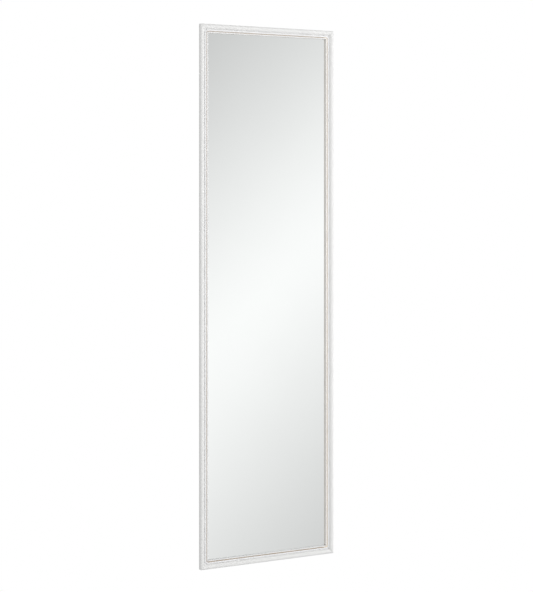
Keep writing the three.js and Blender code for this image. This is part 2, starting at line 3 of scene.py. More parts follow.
import bmesh
import bpy
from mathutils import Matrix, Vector


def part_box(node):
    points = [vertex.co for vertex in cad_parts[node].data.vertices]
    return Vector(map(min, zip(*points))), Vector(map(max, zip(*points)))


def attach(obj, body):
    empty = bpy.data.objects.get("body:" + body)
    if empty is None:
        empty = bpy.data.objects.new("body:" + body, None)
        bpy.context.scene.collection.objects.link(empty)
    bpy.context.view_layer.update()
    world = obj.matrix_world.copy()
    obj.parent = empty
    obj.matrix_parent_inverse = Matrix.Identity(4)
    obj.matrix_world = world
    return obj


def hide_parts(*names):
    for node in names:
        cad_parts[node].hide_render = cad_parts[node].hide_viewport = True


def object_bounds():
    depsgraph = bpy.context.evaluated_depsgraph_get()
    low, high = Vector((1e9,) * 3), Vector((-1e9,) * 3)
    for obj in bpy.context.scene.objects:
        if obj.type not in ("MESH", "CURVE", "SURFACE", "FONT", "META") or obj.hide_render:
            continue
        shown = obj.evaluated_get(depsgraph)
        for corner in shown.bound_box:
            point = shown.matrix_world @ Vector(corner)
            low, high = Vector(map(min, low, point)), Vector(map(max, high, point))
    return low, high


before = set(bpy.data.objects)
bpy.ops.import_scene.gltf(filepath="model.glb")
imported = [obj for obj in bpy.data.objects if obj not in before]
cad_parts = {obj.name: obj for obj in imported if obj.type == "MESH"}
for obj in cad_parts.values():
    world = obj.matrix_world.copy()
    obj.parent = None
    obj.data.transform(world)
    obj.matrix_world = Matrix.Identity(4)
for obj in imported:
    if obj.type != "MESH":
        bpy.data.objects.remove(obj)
cad_low, cad_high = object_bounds()
scene = bpy.context.scene
scene.view_settings.view_transform = "Standard"

MM = 0.001

# Camera: it stands to the left of the mirror, level with a point a third of the way down it.
# Its lens, turn and distance are read from how the frame's edges lean and close up in the picture;
# the lens axis stays level and the picture is shifted down to take in the mirror's foot.
PICTURE_HEIGHT = 592
FOCAL_LENGTH_PIXELS = 1440.57
HORIZON_ROW = 192.58
SENSOR = 36.0
CAMERA_TURN = math.radians(-27.0614)
CAMERA_DISTANCE = 3.4247
CAMERA_AIM = Vector((-0.0040, -0.0200, -0.3878))

camera = bpy.data.objects.new("camera", bpy.data.cameras.new("camera"))
scene.collection.objects.link(camera)
camera.data.sensor_width = SENSOR
camera.data.lens = SENSOR * FOCAL_LENGTH_PIXELS / PICTURE_HEIGHT
camera.data.shift_y = (HORIZON_ROW - PICTURE_HEIGHT / 2) / PICTURE_HEIGHT
camera_back = Vector((math.sin(CAMERA_TURN), -math.cos(CAMERA_TURN), 0))
camera.location = CAMERA_AIM + camera_back * CAMERA_DISTANCE
camera.rotation_mode = "QUATERNION"
camera.rotation_quaternion = (-camera_back).to_track_quat("-Z", "Y")
scene.camera = camera


# Studio: a white room with three broad soft lamps, level with the mirror's upper part: one on the
# right, one by the camera and one behind. The mirror shows the far wall as a slanting band of light.
AMBIENT = 0.60
AMBIENT_ABOVE = 0.40
BAND_SLANT = 1.0818
BAND_OFFSET = 0.5601
BAND_WIDTH = 0.2167
BAND_EASE = 1.53
BAND_LIGHT = 1.012
BAND_SHADE = 0.415
FAR_WALL_START = 0.26
FAR_WALL_END = 0.75
FAR_WALL_LIGHT = 0.42
ZENITH_START = 0.2
ZENITH_END = 0.9
LAMPS = {  # place and size in metres, power in watts
    "key_lamp": ((2.2, -1.75, -0.2), 1.8, 32),
    "front_lamp": ((-1.1, -3.2, -0.3), 2.0, 28),
    "back_lamp": ((0.6, 3.0, -0.3), 2.0, 48),
}


def put(tree, kind, inputs=None, **settings):
    """A new shader node. Each input is a plain value or another node's output."""
    made = tree.nodes.new("ShaderNode" + kind)
    for name, value in settings.items():
        setattr(made, name, value)
    for key, value in (inputs or {}).items():
        if isinstance(value, bpy.types.NodeSocket):
            tree.links.new(value, made.inputs[key])
        else:
            made.inputs[key].default_value = value
    return made


def maths(tree, operation, *values, clamp=False):
    """One step of arithmetic between numbers and outputs."""
    step = put(tree, "Math", dict(enumerate(values)), operation=operation, use_clamp=clamp)
    return step.outputs[0]


def times(tree, first, second):
    return maths(tree, "MULTIPLY", first, second)


def fade(tree, value, start, end, low=0.0, high=1.0):
    """A smooth change from low to high as a value goes from start to end."""
    inputs = {"Value": value, "From Min": start, "From Max": end, "To Min": low, "To Max": high}
    return put(tree, "MapRange", inputs, interpolation_type="SMOOTHSTEP").outputs[0]


def light_room():
    world = bpy.data.worlds.new("studio")
    scene.world = world
    world.use_nodes = True
    tree = world.node_tree
    tree.nodes.clear()
    heading = put(tree, "TexCoord").outputs["Generated"]
    slant = put(tree, "VectorMath", {0: heading, 1: (-BAND_SLANT, 0, 1)}, operation="DOT_PRODUCT")
    across = maths(tree, "ABSOLUTE", maths(tree, "ADD", slant.outputs["Value"], BAND_OFFSET))
    eased = maths(tree, "POWER", maths(tree, "DIVIDE", across, BAND_WIDTH), BAND_EASE)
    bell = maths(tree, "EXPONENT", times(tree, eased, -1.0))
    band = maths(tree, "MULTIPLY_ADD", bell, BAND_LIGHT - BAND_SHADE, BAND_SHADE)
    wall = fade(tree, across, FAR_WALL_START, FAR_WALL_END, 0.0, FAR_WALL_LIGHT)
    reflected = put(tree, "Background", {"Strength": maths(tree, "ADD", band, wall)})
    skyward = put(tree, "SeparateXYZ", {0: heading}).outputs[2]
    around = fade(tree, skyward, ZENITH_START, ZENITH_END, AMBIENT, AMBIENT_ABOVE)
    ambient = put(tree, "Background", {"Strength": around})
    backdrop = put(tree, "Background", {"Strength": 1.0})
    for background in (reflected, ambient, backdrop):
        background.inputs["Color"].default_value = (1, 1, 1, 1)
    ray = put(tree, "LightPath").outputs
    shaders = {0: ray["Is Glossy Ray"], 1: ambient.outputs[0], 2: reflected.outputs[0]}
    glossy = put(tree, "MixShader", shaders)
    seen = maths(tree, "MAXIMUM", ray["Is Camera Ray"], ray["Is Transmission Ray"])
    mixed = put(tree, "MixShader", {0: seen, 1: glossy.outputs[0], 2: backdrop.outputs[0]})
    put(tree, "OutputWorld", {"Surface": mixed.outputs[0]})


def hang_lamp(name, place, aim, size, power):
    """A square soft lamp. Mirror and metal show the room's band of light in its stead."""
    lamp = bpy.data.objects.new(name, bpy.data.lights.new(name, "AREA"))
    scene.collection.objects.link(lamp)
    lamp.data.size = size
    lamp.data.energy = power
    lamp.location = place
    lamp.rotation_mode = "QUATERNION"
    lamp.rotation_quaternion = (Vector(aim) - lamp.location).to_track_quat("-Z", "Y")
    lamp.visible_glossy = False


light_room()
middle_of_mirror = (cad_low + cad_high) / 2
for name, (place, size, power) in LAMPS.items():
    hang_lamp(name, place, middle_of_mirror, size, power)


# Floor: a pale floor at a door's foot, in matt white. Towards its rim it brightens into the white
# room, so that it has no edge in any view.
DOOR_HEIGHT = 2.03
FLOOR_RADIUS = 1.75
FLOOR_FADE_START = 0.9
FLOOR_RINGS = (0.3, 0.6, FLOOR_FADE_START, 1.3, FLOOR_RADIUS)
FLOOR_SIDES = 96
FLOOR_SEEN = 1.0
FLOOR_BOUNCE = 0.55


def own_place(tree):
    """Where a point lies on the piece itself, in metres."""
    return put(tree, "TexCoord").outputs["Object"]


def coat(piece, material):
    """Gives a piece one material in place of any that it had."""
    piece.data.materials.clear()
    piece.data.materials.append(material)


def lay_floor():
    mould = bmesh.new()
    rings = []
    for radius in FLOOR_RINGS:
        ring = []
        for i in range(FLOOR_SIDES):
            angle = 2 * math.pi * i / FLOOR_SIDES
            ring.append(mould.verts.new((radius * math.cos(angle), radius * math.sin(angle), 0)))
        rings.append(ring)
    mould.faces.new(rings[0])
    for inner, outer in zip(rings, rings[1:]):
        for i in range(FLOOR_SIDES):
            onward = (i + 1) % FLOOR_SIDES
            mould.faces.new((inner[i], outer[i], outer[onward], inner[onward]))
    mesh = bpy.data.meshes.new("floor")
    mould.to_mesh(mesh)
    mould.free()
    floor = bpy.data.objects.new("floor", mesh)
    floor.location = (0, 0, -DOOR_HEIGHT)
    scene.collection.objects.link(floor)
    return floor


def paint_floor(floor):
    paint = bpy.data.materials.new("matt_floor")
    paint.use_nodes = True
    tree = paint.node_tree
    tree.nodes.clear()
    place = own_place(tree)
    mottle = put(tree, "TexNoise", {"Vector": place, "Scale": 6.0, "Detail": 5.0}).outputs[0]
    seen = put(tree, "LightPath").outputs["Is Camera Ray"]
    pale = maths(tree, "MULTIPLY_ADD", seen, FLOOR_SEEN - FLOOR_BOUNCE, FLOOR_BOUNCE)
    tone = times(tree, fade(tree, mottle, 0.3, 0.7, 0.96, 1.0), pale)
    tint = put(tree, "CombineColor", {0: tone, 1: tone, 2: tone}).outputs[0]
    matt = put(tree, "BsdfDiffuse", {"Color": tint})
    glow = put(tree, "Emission", {"Color": (1, 1, 1, 1), "Strength": pale})
    distance = put(tree, "VectorMath", {0: place}, operation="LENGTH").outputs["Value"]
    rim = fade(tree, distance, FLOOR_FADE_START, FLOOR_RADIUS)
    mixed = put(tree, "MixShader", {0: rim, 1: matt.outputs[0], 2: glow.outputs[0]})
    put(tree, "OutputMaterial", {"Surface": mixed.outputs[0]})
    coat(floor, paint)


studio_floor = lay_floor()
paint_floor(studio_floor)


# Frame rails: four lengths of one moulding in dense fibreboard, sprayed with satin white lacquer and
# mitred at 45 degrees. The face is a half round; behind it the side is bevelled back towards the
# door, and the sprayed coat thins out on the back, where the brown board shows.
CORNER_ROUND = 2.5
MITRE_GAP = 0.1
MITRE_EASE = 0.14
REBATE_INSET = 15.5
LEDGE_RISE = 8.6
QUIRK_FLOOR = 10.3
QUIRK_INSET = 12.2
BAND_INSET = 11.6
BAND_FOOT = (11.0, 12.0)
CREST_INNER = (9.4, 16.0)
CREST = (5.0, 16.0)
CREST_OUTER = (1.4, 16.0)
SIDE_PULL = (0.0, 13.8)
SIDE_TOP = (0.0, 10.6)
SIDE_CUTS = (9.2, 7.8)
BEVEL_FOOT = (3.0, 0.0)
BEVEL_HEAD = (0.0, 6.3)
BEVEL_HEAD_EASE = 0.7
BEVEL_FOOT_EASE = 0.4
REBATE_EASE = 0.3
QUIRK_EASE = 0.12
ROUND_CHORDS = 22
CORNER_CHORDS = 8
RAIL_PITCH = 32.0
SLOT_MARGIN = 0.15
SLOT_MOUTH = 1.0
LACQUER = (239, 239, 238)
RUBBED_LACQUER = (222, 214, 200)
FIBREBOARD = (156, 126, 92)


def box_of(node):
    """The low and high corners of a CAD node's box, in millimetres."""
    return [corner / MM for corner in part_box(node)]


rail_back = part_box("frame_top_rail")[1].y / MM
frame_low = Vector((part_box("frame_left_stile")[0].x, 0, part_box("frame_bottom_rail")[0].z)) / MM
frame_high = Vector((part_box("frame_right_stile")[1].x, 0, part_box("frame_top_rail")[1].z)) / MM
frame_middle = (frame_low + frame_high) / 2
half_width = (frame_high.x - frame_low.x) / 2
half_height = (frame_high.z - frame_low.z) / 2


def colour(red, green, blue):
    """A colour of the screen as the shader's linear values."""
    linear = []
    for level in (red / 255, green / 255, blue / 255):
        linear.append(level / 12.92 if level <= 0.04045 else ((level + 0.055) / 1.055) ** 2.4)
    return (*linear, 1.0)


def bezier(a, b, c, d, chords):
    """Points on a cubic curve after its start."""
    points = []
    for i in range(1, chords + 1):
        t = i / chords
        weights = ((1 - t) ** 3, 3 * t * (1 - t) ** 2, 3 * t * t * (1 - t), t ** 3)
        points.append(tuple(sum(w * p[k] for w, p in zip(weights, (a, b, c, d))) for k in (0, 1)))
    return points


def eased_corner(before, corner, after, radius, chords=4):
    """Points that round a corner of an outline off with a short curve."""
    corner = Vector(corner)
    entry = corner + (Vector(before) - corner).normalized() * radius
    leave = corner + (Vector(after) - corner).normalized() * radius
    points = []
    for i in range(chords + 1):
        t = i / chords
        points.append(tuple(entry * (1 - t) ** 2 + corner * 2 * t * (1 - t) + leave * t * t))
    return points


def inward_normals(outline):
    """Unit vectors that point into a closed outline at each of its points."""
    count = len(outline)
    area = 0.0
    for i in range(count):
        x0, y0 = outline[i]
        x1, y1 = outline[(i + 1) % count]
        area += x0 * y1 - x1 * y0
    way = 1.0 if area > 0 else -1.0
    normals = []
    for i in range(count):
        before, after = outline[i - 1], outline[(i + 1) % count]
        run = Vector((after[0] - before[0], after[1] - before[1]))
        normals.append(Vector((-run.y, run.x)).normalized() * way)
    return normals


def smooth(mesh, sharp):
    """Smooth faces, with a crease where they meet at more than that angle, in degrees."""
    mesh.shade_smooth()
    mesh.set_sharp_from_angle(angle=math.radians(sharp))


def make_piece(name, mould, sharp=33.0):
    """An object from a finished mould, smooth up to that angle between faces, in degrees."""
    bmesh.ops.recalc_face_normals(mould, faces=mould.faces)
    mesh = bpy.data.meshes.new(name)
    mould.to_mesh(mesh)
    mould.free()
    smooth(mesh, sharp)
    piece = bpy.data.objects.new(name, mesh)
    scene.collection.objects.link(piece)
    return piece


def loft(name, rings, looped=False, sharp=33.0):
    """A skin over rings of points in millimetres. An end ring of one point closes to a tip."""
    mould = bmesh.new()
    rows = [[mould.verts.new(Vector(point) * MM) for point in ring] for ring in rings]
    pairs = list(zip(rows, rows[1:]))
    if looped:
        pairs.append((rows[-1], rows[0]))
    for row, after in pairs:
        for i in range(max(len(row), len(after))):
            corners = []
            for ring, k in ((row, i), (row, i + 1), (after, i + 1), (after, i)):
                vert = ring[k % len(ring)]
                if vert not in corners:
                    corners.append(vert)
            mould.faces.new(corners)
    if not looped:
        for row in (rows[0], rows[-1]):
            if len(row) > 1:
                mould.faces.new(row)
    return make_piece(name, mould, sharp)


def carve(piece, cutters, sharp=33.0, solver="EXACT"):
    """Cuts every cutter out of a piece and throws the cutters away."""
    for cutter in cutters:
        cut = piece.modifiers.new("cut", "BOOLEAN")
        cut.object = cutter
        cut.operation = "DIFFERENCE"
        cut.solver = solver
    bpy.context.view_layer.update()
    solid = piece.evaluated_get(bpy.context.evaluated_depsgraph_get())
    mesh = bpy.data.meshes.new_from_object(solid)
    piece.modifiers.clear()
    plain = piece.data
    piece.data = mesh
    bpy.data.meshes.remove(plain)
    mesh.name = piece.name
    smooth(mesh, sharp)
    for cutter in cutters:
        bpy.data.meshes.remove(cutter.data)
    return piece


def socket_for(node, margin, mouth=None):
    """A cutter for the socket round a CAD node, open towards the back as far as mouth, if given."""
    mould = bmesh.new()
    mould.from_mesh(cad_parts[node].data)
    bmesh.ops.remove_doubles(mould, verts=mould.verts, dist=0.001 * MM)
    bmesh.ops.recalc_face_normals(mould, faces=mould.faces)
    back = max(vert.co.y for vert in mould.verts)
    moved = []
    for vert in mould.verts:
        push = sum((face.normal for face in vert.link_faces), Vector()).normalized()
        place = vert.co + push * margin * MM
        if mouth is not None and back - vert.co.y < margin * MM:
            place.y = mouth * MM
        moved.append(place)
    for vert, place in zip(mould.verts, moved):
        vert.co = place
    return make_piece("socket", mould)


def rail_section():
    """The moulding's outline: how far in from the frame's edge, and how far up from its back."""
    rebate_foot, rebate_head = (REBATE_INSET, 0.0), (REBATE_INSET, LEDGE_RISE)
    ledge_end = (QUIRK_INSET, LEDGE_RISE)
    quirk_in, quirk_out = (QUIRK_INSET, QUIRK_FLOOR), (BAND_INSET, QUIRK_FLOOR)
    section = eased_corner(BEVEL_FOOT, rebate_foot, rebate_head, REBATE_EASE)
    section += [rebate_head, ledge_end]
    section += eased_corner(ledge_end, quirk_in, quirk_out, QUIRK_EASE)
    section += [quirk_out]
    section += bezier(quirk_out, BAND_FOOT, CREST_INNER, CREST, ROUND_CHORDS)
    section += bezier(CREST, CREST_OUTER, SIDE_PULL, SIDE_TOP, ROUND_CHORDS)
    section += [(0.0, rise) for rise in SIDE_CUTS]
    section += eased_corner(SIDE_TOP, BEVEL_HEAD, BEVEL_FOOT, BEVEL_HEAD_EASE)
    section += eased_corner(BEVEL_HEAD, BEVEL_FOOT, rebate_foot, BEVEL_FOOT_EASE)
    return section


def rail_ends():
    """From the mitre inwards: how far each cut lies from it, the least inset there, and its ease."""
    at_mitre = CORNER_ROUND * (1 - math.cos(math.radians(45)))
    cuts = [(MITRE_GAP, at_mitre, MITRE_EASE)]
    for i in range(CORNER_CHORDS, -1, -1):
        angle = math.radians(45) * i / CORNER_CHORDS
        inset = CORNER_ROUND * (1 - math.cos(angle))
        offset = CORNER_ROUND * (math.cos(angle) - math.sin(angle))
        cuts.append((MITRE_GAP + MITRE_EASE + offset, inset, 0.0))
    return cuts


def mould_rail(name, out, run, half_across, half_length):
    """A rail with mitred ends; out points away from the frame's middle and run goes along it."""
    section = rail_section()
    inward = inward_normals(section)
    rings = []

    def add_ring(end, offset, least, ease, level=None):
        ring = []
        for (inset, rise), normal in zip(section, inward):
            inset = max(inset, least)
            along = level if level is not None else end * (half_length - inset - offset)
            inset += normal.x * ease
            rise += normal.y * ease
            place = frame_middle + out * (half_across - inset) + run * along
            ring.append((place.x, rail_back - rise, place.z))
        rings.append(ring)

    ends = rail_ends()
    for offset, least, ease in ends:
        add_ring(-1, offset, least, ease)
    straight = 2 * (half_length - REBATE_INSET - 3 * CORNER_ROUND)
    count = round(straight / RAIL_PITCH)
    for i in range(count + 1):
        add_ring(0, 0, 0, 0, level=(i / count - 0.5) * straight)
    for offset, least, ease in reversed(ends):
        add_ring(1, offset, least, ease)
    return loft(name, rings)


def start_group(name, inputs, outputs):
    """A node group with named inputs and outputs: its tree, its inputs and its output node."""
    tree = bpy.data.node_groups.new(name, "ShaderNodeTree")
    for kind, sockets in (("INPUT", inputs), ("OUTPUT", outputs)):
        for label, value in sockets.items():
            sort = "NodeSocketColor" if isinstance(value, tuple) else "NodeSocketFloat"
            socket = tree.interface.new_socket(label, in_out=kind, socket_type=sort)
            socket.default_value = value
    given = tree.nodes.new("NodeGroupInput").outputs
    result = tree.nodes.new("NodeGroupOutput")
    return tree, given, result


def connect(tree, node, **sources):
    """Feeds outputs to a node's inputs, by input names in lower case."""
    for socket in node.inputs:
        source = sources.get(socket.name.lower().replace(" ", "_"))
        if source is not None:
            tree.links.new(source, socket)


def place_group(tree, group, **values):
    """A group's node in a material, with its own values, by input names in lower case."""
    made = tree.nodes.new("ShaderNodeGroup")
    made.node_tree = group
    for socket in made.inputs:
        value = values.get(socket.name.lower().replace(" ", "_"))
        if isinstance(value, bpy.types.NodeSocket):
            tree.links.new(value, socket)
        elif value is not None:
            socket.default_value = value
    return made.outputs


def cloud(tree, place, scale, detail=2.0, roughness=0.5, stretch=None):
    """Soft noise of a scale per metre, optionally stretched along an axis."""
    if stretch is not None:
        place = put(tree, "Mapping", {"Vector": place, "Scale": stretch}).outputs[0]
    inputs = {"Vector": place, "Scale": scale, "Detail": detail, "Roughness": roughness}
    return put(tree, "TexNoise", inputs).outputs[0]


def blend_colours(tree, amount, first, second, kind="MIX"):
    inputs = {0: amount, 6: first, 7: second}
    return put(tree, "Mix", inputs, data_type="RGBA", blend_type=kind).outputs[2]


def shaded(tree, tint, tone):
    """A colour made lighter or darker by a tone near 1."""
    grey = put(tree, "CombineColor", {0: tone, 1: tone, 2: tone}).outputs[0]
    return blend_colours(tree, 1.0, tint, grey, "MULTIPLY")


def facing(tree, axis):
    """How far a surface faces along X, Y or Z, as 0, 1 or 2."""
    normal = put(tree, "NewGeometry").outputs["Normal"]
    return put(tree, "SeparateXYZ", {0: normal}).outputs[axis]


def sprayed_film_group():
    """A sprayed coat: slow drift of its tone, faint specks and an orange peel."""
    inputs = {"Colour": (1.0, 1.0, 1.0, 1.0), "Drift": 0.03, "Sheen": 0.4, "Grain": 900.0}
    outputs = {"Colour": (1.0, 1.0, 1.0, 1.0), "Roughness": 0.4, "Height": 0.5}
    tree, given, result = start_group("sprayed_film", inputs, outputs)
    place = own_place(tree)
    drift = maths(tree, "SUBTRACT", cloud(tree, place, 11.0, 3.0), 0.5)
    fine = maths(tree, "SUBTRACT", cloud(tree, place, 160.0, 4.0), 0.5)
    both = maths(tree, "MULTIPLY_ADD", fine, 0.2, drift)
    tone = maths(tree, "MULTIPLY_ADD", both, given["Drift"], 1.0)
    speck = fade(tree, cloud(tree, place, 620.0, 1.0), 0.76, 0.82, 1.0, 0.98)
    toned = shaded(tree, given["Colour"], times(tree, tone, speck))
    peel = cloud(tree, place, given["Grain"], 2.0, 0.55)
    patch = fade(tree, cloud(tree, place, 45.0, 3.0), 0.35, 0.65, -0.02, 0.03)
    rough = maths(tree, "ADD", given["Sheen"], patch)
    connect(tree, result, colour=toned, roughness=rough, height=peel)
    return tree


def rubbed_edge_group():
    """Where hands and cloths have rubbed an edge: proud edges, broken up unevenly."""
    inputs = {"Start": 0.53, "Full": 0.62, "Amount": 0.5}
    tree, given, result = start_group("rubbed_edge", inputs, {"Mask": 0.0})
    geometry = put(tree, "NewGeometry").outputs["Pointiness"]
    place = own_place(tree)
    inputs = {"Value": geometry, "From Min": given["Start"], "From Max": given["Full"]}
    edge = put(tree, "MapRange", inputs, interpolation_type="SMOOTHSTEP").outputs[0]
    broken = fade(tree, cloud(tree, place, 140.0, 5.0, 0.65), 0.46, 0.62)
    mask = times(tree, edge, broken)
    connect(tree, result, mask=maths(tree, "MULTIPLY", mask, given["Amount"], clamp=True))
    return tree


def settled_dust_group():
    """Dust on what faces up, thicker in some places than in others."""
    tree, given, result = start_group("settled_dust", {"Amount": 0.3}, {"Mask": 0.0})
    upward = fade(tree, facing(tree, 2), 0.55, 0.98)
    place = own_place(tree)
    patch = fade(tree, cloud(tree, place, 60.0, 6.0, 0.7), 0.3, 0.75)
    mask = times(tree, upward, patch)
    connect(tree, result, mask=times(tree, mask, given["Amount"]))
    return tree


def pressed_fibre_group():
    """Pressed wood fibre: short matted strands in two directions and darker bark flecks."""
    inputs = {"Colour": (0.3, 0.2, 0.1, 1.0), "Contrast": 0.5}
    outputs = {"Colour": (0.3, 0.2, 0.1, 1.0), "Height": 0.5}
    tree, given, result = start_group("pressed_fibre", inputs, outputs)
    place = own_place(tree)
    strands = []
    for turn, stretch in ((0.5, (2600.0, 900.0, 320.0)), (-0.7, (380.0, 900.0, 2300.0))):
        turned = put(tree, "Mapping", {"Vector": place, "Rotation": (0, turn, 0), "Scale": stretch})
        strands.append(cloud(tree, turned.outputs[0], 1.0, 4.0, 0.6))
    matted = times(tree, maths(tree, "ADD", *strands), 0.5)
    swirl = maths(tree, "SUBTRACT", cloud(tree, place, 40.0, 4.0), 0.5)
    level = maths(tree, "SUBTRACT", matted, 0.5)
    both = maths(tree, "MULTIPLY_ADD", swirl, 0.35, level)
    fleck = fade(tree, cloud(tree, place, 900.0, 1.0), 0.70, 0.78, 1.0, 0.62)
    tone = maths(tree, "MULTIPLY_ADD", both, given["Contrast"], 1.0)
    toned = shaded(tree, given["Colour"], times(tree, tone, fleck))
    connect(tree, result, colour=toned, height=matted)
    return tree


sprayed_film = sprayed_film_group()
rubbed_edge = rubbed_edge_group()
settled_dust = settled_dust_group()
pressed_fibre = pressed_fibre_group()
DUST = colour(196, 190, 180)


def dusted(tree, tint, amount):
    """A colour with dust settled on it, and the dust's mask."""
    dust = place_group(tree, settled_dust, amount=amount)["Mask"]
    return blend_colours(tree, dust, tint, DUST), dust


def start_material(name):
    """A material with its tree, its surface shader and its bump."""
    material = bpy.data.materials.new(name)
    material.use_nodes = True
    tree = material.node_tree
    tree.nodes.clear()
    surface = put(tree, "BsdfPrincipled")
    put(tree, "OutputMaterial", {"Surface": surface.outputs[0]})
    return material, tree, surface


def raise_bump(tree, surface, height, depth, strength=1.0):
    """Feeds a height to the surface's normal; depth is in millimetres."""
    inputs = {"Height": height, "Distance": depth * MM, "Strength": strength}
    tree.links.new(put(tree, "Bump", inputs).outputs[0], surface.inputs["Normal"])


def white_lacquer():
    material, tree, surface = start_material("white_lacquer")
    place = own_place(tree)
    white = colour(*LACQUER)
    film = place_group(tree, sprayed_film, colour=white, drift=0.008, sheen=0.36, grain=850.0)
    board = place_group(tree, pressed_fibre, colour=colour(*FIBREBOARD), contrast=0.5)
    rub = place_group(tree, rubbed_edge, start=0.56, full=0.66, amount=0.15)["Mask"]
    thin = fade(tree, cloud(tree, place, 26.0, 5.0, 0.6), 0.30, 0.70, 0.55, 1.0)
    bare = times(tree, fade(tree, facing(tree, 1), 0.75, 0.98), thin)
    tint = blend_colours(tree, rub, film["Colour"], colour(*RUBBED_LACQUER))
    tint, dust = dusted(tree, blend_colours(tree, bare, tint, board["Colour"]), 0.06)
    dull = maths(tree, "MULTIPLY_ADD", bare, 0.45, film["Roughness"])
    connect(tree, surface, base_color=tint, roughness=maths(tree, "ADD", dull, dust))
    raise_bump(tree, surface, film["Height"], 0.002)
    return material


lacquered = white_lacquer()
right, up = Vector((1, 0, 0)), Vector((0, 0, 1))
RAILS = {
    "frame_top_rail": (up, right, half_height, half_width),
    "frame_bottom_rail": (-up, -right, half_height, half_width),
    "frame_left_stile": (-right, up, half_width, half_height),
    "frame_right_stile": (right, -up, half_width, half_height),
}
mouth = rail_back + SLOT_MOUTH
for node, (out, run, half_across, half_length) in RAILS.items():
    rail = mould_rail(node.replace("frame", "moulded"), out, run, half_across, half_length)
    word = node.split("_")[1]
    cutters = []
    for name in sorted(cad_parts):
        if name.startswith("corner_v_nail") and word in name:
            cutters.append(socket_for(name, SLOT_MARGIN, mouth))
        if name.startswith("retaining_point_" + word):
            cutters.append(socket_for(name, SLOT_MARGIN))
        if "keeper_screw" in name and word == "top":
            cutters.append(socket_for(name, SLOT_MARGIN))
    carve(rail, cutters)
    coat(rail, lacquered)
    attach(rail, "frame")
    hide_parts(node)


# V-nails: bright steel strip bent to a V, six millimetres deep, pressed across each mitre from behind
# so that they draw its two rails together. They sit just below the back of the rails.
STEEL = (168, 170, 172)


def plated_metal_group():
    """Plated metal: cloudy brightness, fine scratches and handling marks."""
    inputs = {"Colour": (0.6, 0.6, 0.6, 1.0), "Sheen": 0.3, "Wear": 0.5}
    outputs = {"Colour": (0.6, 0.6, 0.6, 1.0), "Roughness": 0.3, "Height": 0.5}
    tree, given, result = start_group("plated_metal", inputs, outputs)
    place = own_place(tree)
    cloudy = maths(tree, "SUBTRACT", cloud(tree, place, 220.0, 5.0, 0.6), 0.5)
    scratch = cloud(tree, place, 1.0, 3.0, 0.6, stretch=(3800.0, 3800.0, 420.0))
    scored = fade(tree, scratch, 0.60, 0.70)
    tone = maths(tree, "MULTIPLY_ADD", times(tree, cloudy, given["Wear"]), 0.5, 1.0)
    worn = maths(tree, "MULTIPLY_ADD", times(tree, scored, given["Wear"]), -0.16, tone)
    haze = maths(tree, "MULTIPLY_ADD", maths(tree, "ADD", cloudy, scored), 0.12, given["Sheen"])
    relief = maths(tree, "MULTIPLY_ADD", scored, -0.6, cloudy)
    connect(tree, result, colour=shaded(tree, given["Colour"], worn), roughness=haze, height=relief)
    return tree


plated_metal = plated_metal_group()


def metal(name, tint, sheen, wear, depth):
    """A plated metal of that tint, with grime where nothing rubs it clean."""
    material, tree, surface = start_material(name)
    plate = place_group(tree, plated_metal, colour=colour(*tint), sheen=sheen, wear=wear)
    polish = place_group(tree, rubbed_edge, start=0.53, full=0.60, amount=0.7)["Mask"]
    brighter = colour(*[min(255, level * 1.12) for level in tint])
    tinted, dust = dusted(tree, blend_colours(tree, polish, plate["Colour"], brighter), 0.2)
    clean = maths(tree, "SUBTRACT", 1.0, dust)
    rough = maths(tree, "MULTIPLY_ADD", dust, 0.5, plate["Roughness"])
    connect(tree, surface, base_color=tinted, roughness=rough, metallic=clean)
    raise_bump(tree, surface, plate["Height"], depth)
    return material


bright_steel = metal("bright_steel", STEEL, 0.34, 0.8, 0.01)
for name, nail in sorted(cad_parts.items()):
    if name.startswith("corner_v_nail"):
        coat(nail, bright_steel)


# Slip: one moulded ring inside the rails, with a small bead, a shallow groove and a thin lip over the
# glass. It is sprayed white; a tan glaze is wiped into the groove and lies darker in its corners.
# Painted light and shade: the glaze is painted paler on the right stile, and the lip's wall over the
# glass is painted darker, darkest in its corners, where there is some grime as well.
SLIP_OUTSIDE = 12.26
SLIP_BEARING = 8.8
SLIP_BASE = 10.2
SLIP_SHOULDER = 15.7
SLIP_BACK = 7.65
SIGHT_INSET = 20.7
SIGHT_RISE = 12.3
SIGHT_EASE = 0.22
LIP_CLEAR = 0.25
BASE_STEP = 0.02
BEAD_FOOT = 11.4
BEAD_END = 16.3
BEAD_RISE = 1.9
GROOVE_END = 18.2
GROOVE_CONTROL = (17.2, 10.9)
LIP_CONTROL = (19.0, 12.6)
SLIP_CORNER_INSET = 19.6
SIGHT_RADIUS = 0.4
SLIP_CHORDS = 12
SLIP_CORNER_CHORDS = 12
SLIP_PITCH = 24.0
CORNER_REACH = 7.0
GLAZE_THINS = -1240.0
GLAZE_THIN = -14.0
GLAZE_MOST = 0.90
GLAZE_LEAST = 0.76
# Painted light: across this span, towards the right stile, the glaze is painted paler, as if lit from
# the right.
PAINTED_LIGHT_SPAN = (148.0, 158.0)
GLAZE_WITH_PAINTED_LIGHT = (226, 208, 176)
SLIP_WHITE = (244, 244, 245)
RUBBED_SLIP = (214, 206, 192)
# Painted shade on the wall of the lip over the glass.
SIGHT_WALL_SHADE = (204, 186, 152)
GLAZE = (150, 128, 94)
GLAZE_LIGHTER = (168, 147, 114)
# Glaze brown that pools in the groove's corners, also used as painted shade in the corners by the
# glass.
GLAZE_POOL_AND_SHADE = (112, 84, 52)


